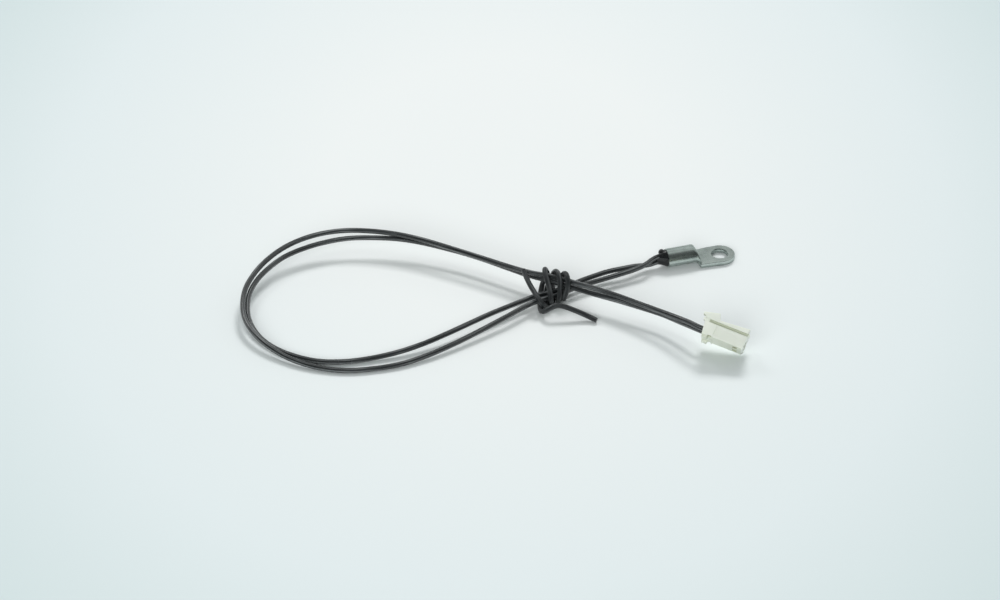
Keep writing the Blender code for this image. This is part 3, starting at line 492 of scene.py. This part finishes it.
def make_wire(name, side, route):
    """Insulated wire from inside the probe to inside the connector, with its stripped ends."""
    height = lead_height(side)
    y = -side * CAVITY_PITCH / 2
    mouth_run = (BARREL_MOUTH_X + WIRE_DIAMETER, BARREL_MOUTH_X, EPOXY_TIP_X)
    free = [(x, BARREL_SIDE, height) for x in mouth_run] + list(route)
    free += [in_housing(x, y, 0) for x in WIRE_ENTRY]
    run = relaxed(smooth_curve(free, WIRE_STEP), WIRE_ROUNDS)
    insulation, conductor = WIRE_DIAMETER / 2, CONDUCTOR_DIAMETER / 2
    path = [(CONDUCTOR_START_X, BARREL_SIDE, height),
            (INSULATION_START_X + STRIP_STEP, BARREL_SIDE, height),
            (INSULATION_START_X, BARREL_SIDE, height)]
    radii = [conductor, conductor, insulation]
    path += [tuple(point) for point in run]
    radii += [insulation] * len(run)
    path += [in_housing(INSULATION_END, y, 0), in_housing(INSULATION_END + STRIP_STEP, y, 0),
             in_housing(CRIMP_START - CLEARANCE, y, -CONDUCTOR_DROP),
             in_housing(CONDUCTOR_END, y, -CONDUCTOR_DROP)]
    radii += [insulation, conductor, conductor, conductor]
    piece = tube_mesh(name + "_insulated", path, radii, WIRE_SIDES)
    length = sum((Vector(b) - Vector(a)).length for a, b in zip(path, path[1:]))
    return piece, [Vector(point) * MM for point in path], length * MM


def make_tie():
    run = relaxed(smooth_curve(ROUTE_TIE, TIE_STEP), TIE_ROUNDS)
    radii = [WIRE_DIAMETER / 2] * len(run)
    radii[0] = radii[-1] = WIRE_DIAMETER / 2 * TIE_END
    piece = tube_mesh("lead_tie_wound", run, radii, TIE_SIDES)
    length = float(np.linalg.norm(np.diff(run, axis=0), axis=1).sum())
    return piece, [Vector(point) * MM for point in run], length * MM


# Ring terminal

def tube_height(flatness):
    return BARREL_DIAMETER + (TONGUE_THICKNESS - BARREL_DIAMETER) * flatness


def barrel_bulge(angle):
    """How far the barrel's -Y side stands out, by the angle up from that side in degrees."""
    def step(start, end):
        along = min(1.0, max(0.0, (start - angle) / (start - end)))
        return along * along * (3 - 2 * along)
    return BARREL_BULGE * (step(BULGE_TOP, BULGE_FULLEST) - step(BULGE_FULLEST, BULGE_FOOT))


def flattened_section(x, flatness, inset=0.0):
    """Section of the terminal's tube: round at flatness 0, the flat tongue at 1."""
    width = BARREL_DIAMETER + (TONGUE_WIDTH - BARREL_DIAMETER) * flatness - 2 * inset
    height = tube_height(flatness) - 2 * inset
    middle = BARREL_SIDE * (1 - flatness)
    straight = (width - height) / 2
    points = []
    for i in range(TUBE_SIDES):
        angle = 2 * math.pi * (i + 0.5) / TUBE_SIDES
        across, up = math.cos(angle), math.sin(angle)
        radius = height / 2
        if across < 0 and inset < TUBE_WALL:
            fade = max(0.0, 1 - BULGE_FADE * flatness)
            radius += barrel_bulge(math.degrees(math.asin(up))) * fade
        y = middle + math.copysign(straight, across) + radius * across
        points.append((x, y, inset + height / 2 + radius * up))
    return points


def shoulder_stations(length):
    """Places along the shoulder with how flat the tube is there: a dome, steepest at its foot."""
    last = math.radians(SHOULDER_STEEPEST)
    for i in range(SHOULDER_STEPS + 1):
        angle = last * i / SHOULDER_STEPS
        along = math.sin(angle) / math.sin(last)
        yield SHOULDER_X + length * along, (1 - math.cos(angle)) / (1 - math.cos(last))


def ring_outline():
    """Plan of the tongue and the ring, in X and Y."""
    half, radius = TONGUE_WIDTH / 2, RING_DIAMETER / 2
    start_x = SHOULDER_END_X - TONGUE_LAP
    reach = RING_X - start_x
    meet = math.atan2(half, -reach) - math.acos(radius / math.hypot(reach, half))
    angles = [-meet + 2 * meet * i / TUBE_SIDES for i in range(TUBE_SIDES + 1)]
    ring = [(RING_X + radius * math.cos(a), radius * math.sin(a)) for a in angles]
    far_x, far_y = ring[-1]
    edge = []
    for i in range(1, FAR_EDGE_STEPS):
        along = i / FAR_EDGE_STEPS
        bulge = FAR_EDGE_BULGE * math.sin(math.pi * along) ** FAR_EDGE_POWER
        edge.append((far_x + (start_x - far_x) * along, far_y + (half - far_y) * along + bulge))
    return [(start_x, -half)] + ring + edge + [(start_x, half)]


def make_tongue():
    outline = ring_outline()
    curve = bpy.data.curves.new("tongue_plan", "CURVE")
    curve.dimensions = "2D"
    curve.fill_mode = "BOTH"
    curve.extrude = (TONGUE_THICKNESS / 2 - TONGUE_EDGE) * MM
    curve.bevel_depth = TONGUE_EDGE * MM
    curve.bevel_resolution = 3
    curve.offset = -TONGUE_EDGE * MM
    spline = curve.splines.new("POLY")
    spline.points.add(len(outline) - 1)
    spline.use_cyclic_u = True
    for slot, (x, y) in zip(spline.points, outline):
        slot.co = (x * MM, y * MM, 0.0, 1.0)
    plan = link("tongue_plan", curve)
    shape = bmesh.new()
    shape.from_mesh(bpy.data.meshes.new_from_object(plan))
    bmesh.ops.translate(shape, vec=(0, 0, TONGUE_THICKNESS / 2 * MM), verts=shape.verts)
    bmesh.ops.remove_doubles(shape, verts=shape.verts, dist=WELD_DISTANCE * MM)
    bpy.data.objects.remove(plan)
    return from_shape("tongue_plate", shape)


def make_ring_terminal():
    sections = [flattened_section(BARREL_MOUTH_X + run, 0.0, inset) for run, inset in BARREL_LIP]
    sections += [flattened_section(x, flat) for x, flat in shoulder_stations(SHOULDER_LENGTH)]
    sections.append(flattened_section(SHOULDER_END_X + TONGUE_LAP, 1.0))
    part = loft("ring_terminal_fine", sections)
    combined(part, make_tongue(), "UNION")

    bore = [flattened_section(BARREL_MOUTH_X - CUT_PAST, 0.0, TUBE_WALL)]
    for x, flat in shoulder_stations(SHOULDER_LENGTH - TUBE_WALL):
        if tube_height(flat) > BORE_END_WALLS * TUBE_WALL:
            bore.append(flattened_section(x, flat, TUBE_WALL))
    combined(part, loft("barrel_bore", bore), "DIFFERENCE")

    # Radius and height along the hole, with a rounded chamfer at both faces.
    radius, chamfer, top = HOLE_DIAMETER / 2, HOLE_CHAMFER, TONGUE_THICKNESS
    profile = [(radius + 2 * chamfer, top + chamfer),
               (radius + chamfer * 0.35, top - chamfer * 0.6),
               (radius, top - chamfer * 1.3), (radius, chamfer * 1.3),
               (radius + chamfer * 0.35, chamfer * 0.6), (radius + 2 * chamfer, -chamfer)]
    turn = np.linspace(0, 2 * math.pi, TUBE_SIDES, endpoint=False)
    rings = [[(HOLE_X + r * math.cos(a), r * math.sin(a), z) for a in turn] for r, z in profile]
    combined(part, loft("stud_hole", rings), "DIFFERENCE")
    return smooth(part, angle=32.0)


# Epoxy

def ball(name, centre, radii):
    shape = bmesh.new()
    bmesh.ops.create_icosphere(shape, subdivisions=4, radius=MM)
    bmesh.ops.scale(shape, vec=radii, verts=shape.verts)
    bmesh.ops.translate(shape, vec=Vector(centre) * MM, verts=shape.verts)
    return from_shape(name, shape)


def make_epoxy():
    """Potting: a plug in the bore, then the drawn-in cone with its round drop near the mouth."""
    plug = BORE / 2 - CLEARANCE
    rim = BARREL_DIAMETER / 2 - RIM_INSET
    rim_x = BARREL_MOUTH_X - RIM_OUT
    tip_width = WIRE_DIAMETER / 2 + CLEARANCE
    tip_height = tip_width + WIRE_PITCH_IN_BARREL / 2
    stations = [(SHOULDER_X, plug, plug), (rim_x + PLUG_IN, plug, plug)]
    for i in range(EPOXY_STEPS + 1):
        along = i / EPOXY_STEPS
        lip = LIP_DEPTH * max(0.0, 1 - along / LIP_PART)
        stations.append((rim_x + (EPOXY_TIP_X - rim_x) * along,
                         rim + (tip_width - rim) * (1 - (1 - along) ** WIDTH_POWER) - lip,
                         rim + (tip_height - rim) * (1 - (1 - along) ** HEIGHT_POWER) - lip))
    turn = [2 * math.pi * i / EPOXY_SIDES for i in range(EPOXY_SIDES)]
    sections = [[(x, BARREL_SIDE + width * math.cos(angle), AXIS_HEIGHT + height * math.sin(angle))
                 for angle in turn] for x, width, height in stations]
    part = loft("potting_epoxy_glossy", sections)
    depth = BLOB_BEHIND - 2 * CLEARANCE
    drop = (BARREL_MOUTH_X - BLOB_BEHIND, BARREL_SIDE + BLOB_SIDE, AXIS_HEIGHT + BLOB_RISE)
    radii = (depth, BLOB_RADIUS, BLOB_RADIUS * BLOB_SQUASH)
    combined(part, ball("epoxy_drop", drop, radii), "UNION")
    remesh = part.modifiers.new("even", "REMESH")
    remesh.mode = "VOXEL"
    remesh.voxel_size = EPOXY_VOXEL * MM
    soften = part.modifiers.new("soften", "SMOOTH")
    soften.factor = SOFTEN_FACTOR
    soften.iterations = SOFTEN_ROUNDS
    apply_modifiers(part)
    for vert in part.data.vertices:
        x, y, z = vert.co / MM
        if x < BARREL_MOUTH_X - RIPPLE_START:
            wave = math.sin(2.6 * x + 1.7 * y) * math.cos(2.1 * z + 0.8 * y) * RIPPLE_HEIGHT
            outward = Vector((0.0, y - BARREL_SIDE, z - AXIS_HEIGHT)).normalized()
            vert.co += outward * wave * MM
    return smooth(part, angle=60.0)


# Connector housing

def on_side(side, inner, outer):
    """Low and high Y between two distances from the housing's middle, on one side of it."""
    return sorted((side * inner, side * outer))


def painted_shade_at(x, y, z):
    """How much painted shade a face of the housing gets at this place, in its recesses and
    underside.
    """
    in_window = (WINDOW_START <= x <= WINDOW_START + WINDOW_LENGTH
                 and HOUSING_FLOOR + 2 * NEAR < z < 0)
    in_cavity = (CAVITY_END_GAP < x < HOUSING_LENGTH - CAVITY_END_GAP
                 and abs(y) < HALF_WIDTH - CAVITY_SIDE_GAP
                 and CAVITY_FLOOR - 2 * NEAR < z < CAVITY_ROOF + 2 * NEAR)
    in_pocket = (POCKET_START - NEAR < x < POCKET_END + NEAR
                 and HOUSING_FLOOR - COLLAR_STEP + NEAR < z < HOUSING_FLOOR + POCKET_DEPTH + NEAR)
    if in_window or in_cavity or in_pocket:
        return DEEP_SHADE
    in_groove = (CHANNEL_SIDE < abs(y) < HALF_WIDTH - NEAR
                 and GROOVE_HEIGHT - 2 * NEAR < z < GROOVE_HEIGHT + GROOVE_GAP + 2 * NEAR
                 and GROOVE_START - 2 * NEAR < x < HOUSING_LENGTH - NEAR)
    in_notch = (x < NOTCH_FRONT_X
                and abs(z - EAR_NOTCH - NOTCH_MIDDLE_RISE) < NOTCH_HALF_HEIGHT)
    if in_groove or in_notch:
        return GROOVE_SHADE
    return UNDERSIDE_SHADE if z < HOUSING_FLOOR + NEAR else 0.0


def make_housing():
    """The nylon housing with fine rounded edges."""
    floor, lap = HOUSING_FLOOR, GROOVE_HEIGHT - PIECE_LAP
    outline = [(0, floor), (HOUSING_LENGTH - NOSE_CUT, floor), (HOUSING_LENGTH, floor + NOSE_RISE),
               (HOUSING_LENGTH, RAIL_TOP_NOSE), (COLLAR_LENGTH, RAIL_TOP_REAR),
               (-0.7 * REAR_RAKE, RAIL_TOP_REAR - BODY_REAR_DROP),
               (-0.5 * REAR_RAKE, GROOVE_HEIGHT)]
    body = extruded("connector_housing_moulded", outline, -HALF_WIDTH, HALF_WIDTH)
    part = rounded(body, BODY_EDGE)

    collar = [(0, floor - COLLAR_STEP), (COLLAR_LENGTH, floor - COLLAR_STEP),
              (COLLAR_LENGTH, lap), (-0.4 * REAR_RAKE, lap)]
    step = HALF_WIDTH + COLLAR_STEP + COLLAR_EXTRA
    combined(part, rounded(extruded("collar_block", collar, -step, step), COLLAR_EDGE), "UNION")
    root = GROOVE_HEIGHT + GROOVE_GAP + PIECE_LAP
    ear = [(-EAR_REACH, EAR_NOTCH + EAR_TAIL_RISE), (EAR_NECK_X, EAR_NOTCH + EAR_NECK_RISE),
           (EAR_ROOT_X, root), (COLLAR_LENGTH + EAR_PAST_COLLAR, root),
           (COLLAR_LENGTH - EAR_TOP_SHORT, EAR_TOP), (-EAR_REACH, EAR_TOP - REAR_RAKE)]
    foot = [(FOOT_START, floor - FOOT_DROP), (FOOT_END, floor - FOOT_DROP),
            (FOOT_END + FOOT_SLOPE, floor + FOOT_LAP), (FOOT_START, floor + FOOT_LAP)]
    past_side, past_nose = HALF_WIDTH + CUT_PAST, HOUSING_LENGTH + CUT_PAST
    for side in (-1, 1):
        low_y, high_y = on_side(side, HALF_WIDTH - EAR_WIDTH, HALF_WIDTH + COLLAR_STEP / 2)
        combined(part, rounded(extruded("top_ear", ear, low_y, high_y), EAR_EDGE), "UNION")
        combined(part, rounded(extruded("bottom_ear", foot, low_y, high_y), FOOT_EDGE), "UNION")
        low_y, high_y = on_side(side, HALF_WIDTH - GROOVE_DEPTH, past_side)
        groove = block("side_groove", (GROOVE_START, low_y, GROOVE_HEIGHT),
                       (past_nose, high_y, GROOVE_HEIGHT + GROOVE_GAP))
        combined(part, rounded(groove, GROOVE_EDGE, segments=2), "DIFFERENCE")
        low_y, high_y = on_side(side, HALF_WIDTH - POCKET_WIDTH, past_side)
        pocket = block("foot_pocket", (POCKET_START, low_y, floor - CUT_PAST),
                       (POCKET_END, high_y, floor + POCKET_DEPTH))
        combined(part, pocket, "DIFFERENCE")
    behind = -EAR_REACH - CUT_PAST
    channel = block("rail_channel", (behind, -CHANNEL_SIDE, CHANNEL_FLOOR),
                    (past_nose, CHANNEL_SIDE, EAR_TOP + CUT_PAST))
    combined(part, rounded(channel, CHANNEL_EDGE), "DIFFERENCE")
    for side in (-1, 1):
        y = side * CAVITY_PITCH / 2
        cavity_end = HOUSING_LENGTH - NOSE_WALL
        cuts = {
            "cavity": ((behind, y - CAVITY_WIDTH / 2, CAVITY_FLOOR),
                       (cavity_end, y + CAVITY_WIDTH / 2, CAVITY_ROOF)),
            "pin_hole": ((cavity_end - CUT_PAST, y - PIN_HOLE / 2, -PIN_HOLE / 2),
                         (past_nose, y + PIN_HOLE / 2, PIN_HOLE / 2)),
            "latch_window": ((WINDOW_START, y - WINDOW_WIDTH / 2, floor - CUT_PAST),
                             (WINDOW_START + WINDOW_LENGTH, y + WINDOW_WIDTH / 2, 0)),
        }
        for name, (low, high) in cuts.items():
            combined(part, block(name, low, high), "DIFFERENCE")
    # Painted shade: faces in the groove, notch, cavities, windows, pockets and underside get a
    # darker colour through this attribute.
    painted_shades = [painted_shade_at(*(face.center / MM)) for face in part.data.polygons]
    attribute = part.data.attributes.new("painted_shade", "FLOAT", "FACE")
    attribute.data.foreach_set("value", np.array(painted_shades, np.float32))
    part.data.transform(housing_matrix())
    return smooth(part, angle=30.0)


# Materials

class Look:
    """A Principled material with short ways to add the nodes that it needs.

    The colour and roughness it is made with are what shows where its nodes aren't read.
    """

    def __init__(self, name, colour, roughness, metallic=0.0):
        self.made = bpy.data.materials.new(name)
        self.made.use_nodes = True
        self.tree = self.made.node_tree
        self.shader = self.tree.nodes["Principled BSDF"]
        self.set("Base Color", (*colour, 1.0))
        self.set("Roughness", roughness)
        self.set("Metallic", metallic)
        self.height = None

    def set(self, socket, value):
        self.shader.inputs[socket].default_value = value

    def node(self, kind, **settings):
        made = self.tree.nodes.new(kind)
        for name, value in settings.items():
            setattr(made, name, value)
        return made

    def wire(self, source, target):
        self.tree.links.new(source, target)

    def place(self, scale, attribute=None):
        """Coordinates for a texture, stretched by a scale along each axis."""
        if attribute:
            source = self.node("ShaderNodeAttribute", attribute_name=attribute).outputs["Vector"]
        else:
            source = self.node("ShaderNodeTexCoord").outputs["Object"]
        mapping = self.node("ShaderNodeMapping")
        mapping.inputs["Scale"].default_value = scale
        self.wire(source, mapping.inputs["Vector"])
        return mapping.outputs["Vector"]

    def noise(self, scale, detail, attribute=None):
        """A noise with one scale, or one for each axis, over the object or an attribute."""
        texture = self.node("ShaderNodeTexNoise")
        texture.inputs["Scale"].default_value = 1.0
        texture.inputs["Detail"].default_value = detail
        scales = scale if isinstance(scale, tuple) else (scale,) * 3
        self.wire(self.place(scales, attribute), texture.inputs["Vector"])
        return texture.outputs["Fac"]

    def spread(self, value, low, high, start=0.3, end=0.7):
        """Map a noise onto a range of numbers."""
        node = self.node("ShaderNodeMapRange")
        node.inputs["From Min"].default_value = start
        node.inputs["From Max"].default_value = end
        node.inputs["To Min"].default_value = low
        node.inputs["To Max"].default_value = high
        self.wire(value, node.inputs["Value"])
        return node.outputs["Result"]

    def colours(self, value, *stops):
        """Map a noise onto colours, each with its place from 0 to 1."""
        ramp = self.node("ShaderNodeValToRGB")
        elements = ramp.color_ramp.elements
        while len(elements) < len(stops):
            elements.new(0.5)
        for element, (position, colour) in zip(elements, stops):
            element.position = position
            element.color = (*colour, 1.0)
        self.wire(value, ramp.inputs["Fac"])
        self.wire(ramp.outputs["Color"], self.shader.inputs["Base Color"])
        return ramp.outputs["Color"]

    def rough(self, value):
        self.wire(value, self.shader.inputs["Roughness"])

    def bump(self, value, distance):
        """Add a bump of the given height in millimetres on top of those before."""
        node = self.node("ShaderNodeBump")
        node.inputs["Distance"].default_value = distance * MM
        self.wire(value, node.inputs["Height"])
        if self.height:
            self.wire(self.height, node.inputs["Normal"])
        self.height = node.outputs["Normal"]
        self.wire(self.height, self.shader.inputs["Normal"])


def insulation_look():
    """Extruded black insulation: satin, with faint lines, and paler streaks along its length that
    are painted highlights.
    """
    look = Look("black_insulation_satin", (0.020, 0.022, 0.024), 0.3)
    lines = look.noise((2.2, 2.2, 0.12), 2.0, "lay")
    grain = look.noise(2600, 3.0)
    slow = look.noise(160, 2.0)
    painted_highlight_streaks = look.noise((2.6, 2.6, 0.1), 3.0, "lay")
    # Painted highlights: paler streaks in the colour along the wire.
    look.colours(painted_highlight_streaks, (0.42, (0.010, 0.012, 0.013)), (0.55, (0.034, 0.038, 0.040)),
                 (0.66, (0.15, 0.16, 0.163)))
    look.rough(look.spread(slow, 0.18, 0.36))
    look.bump(lines, 0.03)
    look.bump(grain, 0.004)
    look.set("Specular IOR Level", 0.95)
    return look.made


def tie_look():
    """The tie's covering is drier and a little greyer than the lead's."""
    look = Look("tie_insulation_matte", (0.035, 0.034, 0.034), 0.5)
    lines = look.noise((1.6, 1.6, 0.25), 2.0, "lay")
    grain = look.noise(3200, 4.0)
    # Painted highlight and shade: the colour is paler and darker in bands along the tie.
    look.colours(lines, (0.38, (0.016, 0.018, 0.019)), (0.52, (0.032, 0.035, 0.037)),
                 (0.68, (0.070, 0.075, 0.077)))
    look.rough(look.spread(grain, 0.34, 0.50))
    look.bump(lines, 0.02)
    look.bump(grain, 0.006)
    return look.made


def plating_look():
    """Bright plating over a drawn tube: lines along X, tarnish clouds, fine scratches and pits."""
    look = Look("tin_plating", (0.60, 0.60, 0.58), 0.25, 1.0)
    clouds = look.noise(420, 4.0)
    lines = look.noise((90, 5200, 5200), 3.0)
    pits = look.noise(5200, 2.0)
    look.colours(clouds, (0.25, (0.37, 0.42, 0.40)), (0.5, (0.475, 0.535, 0.51)),
                 (0.75, (0.57, 0.635, 0.605)))
    draws = look.noise((60, 1700, 1700), 2.0)
    look.rough(look.spread(lines, 0.20, 0.34))
    look.bump(draws, 0.03)
    look.bump(lines, 0.004)
    look.bump(pits, 0.003)
    return look.made


def epoxy_look():
    """Glossy black resin with slight waves."""
    look = Look("epoxy_glossy", (0.010, 0.011, 0.012), 0.1)
    waves = look.noise(900, 2.0)
    slow = look.noise(1800, 2.0)
    look.rough(look.spread(slow, 0.05, 0.16))
    look.colours(slow, (0.3, (0.008, 0.009, 0.010)), (0.7, (0.015, 0.016, 0.017)))
    look.bump(waves, 0.03)
    return look.made


def nylon_look():
    """Natural nylon: milky, with a fine moulded grain, and painted shade of greenish yellow in its
    recesses and underside.
    """
    look = Look("natural_nylon_moulded", (0.80, 0.82, 0.72), 0.4)
    grain = look.noise(3800, 3.0)
    slow = look.noise(260, 2.0)
    milky = look.colours(slow, (0.3, (0.835, 0.87, 0.775)), (0.7, (0.87, 0.90, 0.82)))
    painted_shade = look.node("ShaderNodeAttribute", attribute_name="painted_shade")
    painted_shade_mix = look.node("ShaderNodeMix", data_type="RGBA")
    look.wire(painted_shade.outputs["Fac"], painted_shade_mix.inputs["Factor"])
    look.wire(milky, painted_shade_mix.inputs[MIX_A])
    # The colour of the painted shade in the recesses and underside.
    painted_shade_mix.inputs[MIX_B].default_value = (0.46, 0.50, 0.34, 1.0)
    look.wire(painted_shade_mix.outputs[MIX_RESULT], look.shader.inputs["Base Color"])
    look.rough(look.spread(grain, 0.36, 0.48))
    look.bump(grain, 0.004)
    look.set("Subsurface Weight", 0.15)
    look.set("Subsurface Radius", (0.95, 1.0, 0.85))
    look.set("Subsurface Scale", 0.001)
    return look.made


def bead_look():
    """Dark brown glass."""
    look = Look("bead_glass_coating", (0.10, 0.045, 0.020), 0.15)
    clouds = look.noise(1500, 3.0)
    look.colours(clouds, (0.3, (0.075, 0.032, 0.014)), (0.7, (0.13, 0.06, 0.028)))
    look.rough(look.spread(clouds, 0.1, 0.2))
    look.bump(clouds, 0.01)
    return look.made


def fine_metal_look(name, dark, light, low, high):
    """Fine drawn metal between two colours and two roughnesses."""
    look = Look(name, light, high, 1.0)
    grain = look.noise(3000, 3.0)
    look.colours(grain, (0.3, dark), (0.7, light))
    look.rough(look.spread(grain, low, high))
    look.bump(grain, 0.003)
    return look.made


def sleeve_look():
    """Thin yellowish sleeve."""
    look = Look("sleeve_yellowish", (0.72, 0.68, 0.50), 0.4)
    grain = look.noise(2000, 3.0)
    look.colours(grain, (0.3, (0.66, 0.62, 0.44)), (0.7, (0.76, 0.72, 0.55)))
    look.rough(look.spread(grain, 0.35, 0.48))
    look.bump(grain, 0.004)
    return look.made


def dress(piece, look):
    piece.data.materials.clear()
    piece.data.materials.append(look)


def dress_node(name, look):
    for slot in NODES[name].material_slots:
        slot.material = look


# Floor and light

def make_floor():
    """Pale paper under the object, with a painted pool of light: its colour darkens away from its
    middle.
    """
    shape = bmesh.new()
    bmesh.ops.create_grid(shape, x_segments=1, y_segments=1, size=PAPER_REACH)
    floor = from_shape("paper_floor", shape)
    floor.location = (LOOK_AT[0] * MM, LOOK_AT[1] * MM, PAPER_HEIGHT)
    look = Look("paper", (0.84, 0.90, 0.90), 0.9)
    look.set("Specular IOR Level", 0.1)
    centre = look.node("ShaderNodeVectorMath", operation="LENGTH")
    place = look.place((1.0, GLOW_OVAL, 1.0))
    place.node.vector_type = "TEXTURE"
    place.node.inputs["Location"].default_value = GLOW_CENTRE
    place.node.inputs["Rotation"].default_value = (0.0, 0.0, math.radians(GLOW_TURN))
    look.wire(place, centre.inputs[0])
    away = look.spread(centre.outputs["Value"], 0.0, 1.0, 0.0, GLOW_REACH)
    # Painted pool of light in the floor's colour.
    look.colours(away, *GLOW)
    dress(floor, look.made)


def add_lamp(name, azimuth, elevation, distance, size, power, colour, mirrored=False):
    """A soft lamp that faces the object. Metal and gloss mirror it only if it is to be mirrored."""
    data = bpy.data.lights.new(name, "AREA")
    data.shape = "RECTANGLE"
    data.size, data.size_y = size
    data.energy = power
    data.color = colour
    lamp = link(name, data)
    a, e = math.radians(azimuth), math.radians(elevation)
    toward = Vector((math.cos(a) * math.cos(e), math.sin(a) * math.cos(e), math.sin(e)))
    lamp.location = Vector(LOOK_AT) * MM + toward * distance
    lamp.rotation_euler = (-toward).to_track_quat("-Z", "Y").to_euler()
    lamp.visible_glossy = mirrored


def make_world():
    """A soft room: light overhead and behind the object, dark on the camera's side."""
    world = bpy.data.worlds.new("studio")
    bpy.context.scene.world = world
    world.use_nodes = True
    nodes, links = world.node_tree.nodes, world.node_tree.links
    direction = nodes.new("ShaderNodeTexCoord").outputs["Generated"]
    split = nodes.new("ShaderNodeSeparateXYZ")
    links.new(direction, split.inputs[0])

    def by_height(levels):
        """Grey levels by elevation in degrees, read from the height of the direction."""
        ramp = nodes.new("ShaderNodeValToRGB")
        elements = ramp.color_ramp.elements
        for i, (elevation, level) in enumerate(levels):
            place = math.sin(math.radians(elevation))
            element = elements[i] if i < 2 else elements.new(place)
            element.position = place
            element.color = (*(level * part for part in ROOM_TINT), 1.0)
        links.new(split.outputs["Z"], ramp.inputs["Fac"])
        return ramp.outputs["Color"]

    def mix(factor):
        node = nodes.new("ShaderNodeMix")
        node.data_type = "RGBA"
        links.new(factor, node.inputs["Factor"])
        return node

    side = nodes.new("ShaderNodeVectorMath")
    side.operation = "DOT_PRODUCT"
    window = math.radians(WINDOW[0])
    side.inputs[1].default_value = (math.cos(window), math.sin(window), 0.0)
    links.new(direction, side.inputs[0])
    turn = nodes.new("ShaderNodeMapRange")
    turn.inputs["From Min"].default_value = -SIDE_BLEND
    turn.inputs["From Max"].default_value = SIDE_BLEND
    links.new(side.outputs["Value"], turn.inputs["Value"])
    room = mix(turn.outputs["Result"])
    links.new(by_height(CAMERA_SIDE), room.inputs[MIX_A])
    links.new(by_height(FAR_SIDE), room.inputs[MIX_B])
    seen = mix(nodes.new("ShaderNodeLightPath").outputs["Is Camera Ray"])
    links.new(room.outputs[MIX_RESULT], seen.inputs[MIX_A])
    seen.inputs[MIX_B].default_value = (*BACKDROP, 1.0)
    links.new(seen.outputs[MIX_RESULT], nodes["Background"].inputs["Color"])


# Making

bpy.context.scene.view_settings.view_transform = "Standard"
make_camera()

housing = make_housing()
WIRES = {"wire_a": (1, ROUTE_A), "wire_b": (-1, ROUTE_B)}
insulation = insulation_look()
for node, (side, route) in WIRES.items():
    piece, path, length = make_wire(node, side, route)
    dress(piece, insulation)
    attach(piece, "root")
    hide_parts(node)
    label = node[-1]

tie, path, length = make_tie()
dress(tie, tie_look())
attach(tie, "root")
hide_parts("lead_tie")

REPLACED = {
    "ring_terminal": (make_ring_terminal(), plating_look(), "tinned_copper"),
    "potting_epoxy": (make_epoxy(), epoxy_look(), "black_epoxy"),
    "connector_housing": (housing, nylon_look(), "natural_nylon"),
}
for node, (piece, look, slot) in REPLACED.items():
    dress(piece, look)
    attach(piece, "root")
    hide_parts(node)

dress_node("thermistor_bead", bead_look())
lead_metal = fine_metal_look("bead_lead_alloy", (0.58, 0.50, 0.40), (0.70, 0.62, 0.52),
                             0.24, 0.36)
contact_metal = fine_metal_look("contact_plating", (0.60, 0.58, 0.52), (0.72, 0.70, 0.64),
                                0.22, 0.34)
sleeve = sleeve_look()
for label in ("a", "b"):
    dress_node("bead_lead_" + label, lead_metal)
    dress_node("lead_sleeve_" + label, sleeve)
    dress_node("contact_" + label, contact_metal)

make_floor()
make_world()
add_lamp("window_behind", *WINDOW)
add_lamp("soft_fill", *FILL)
add_lamp("glint_behind", *GLINT, mirrored=True)
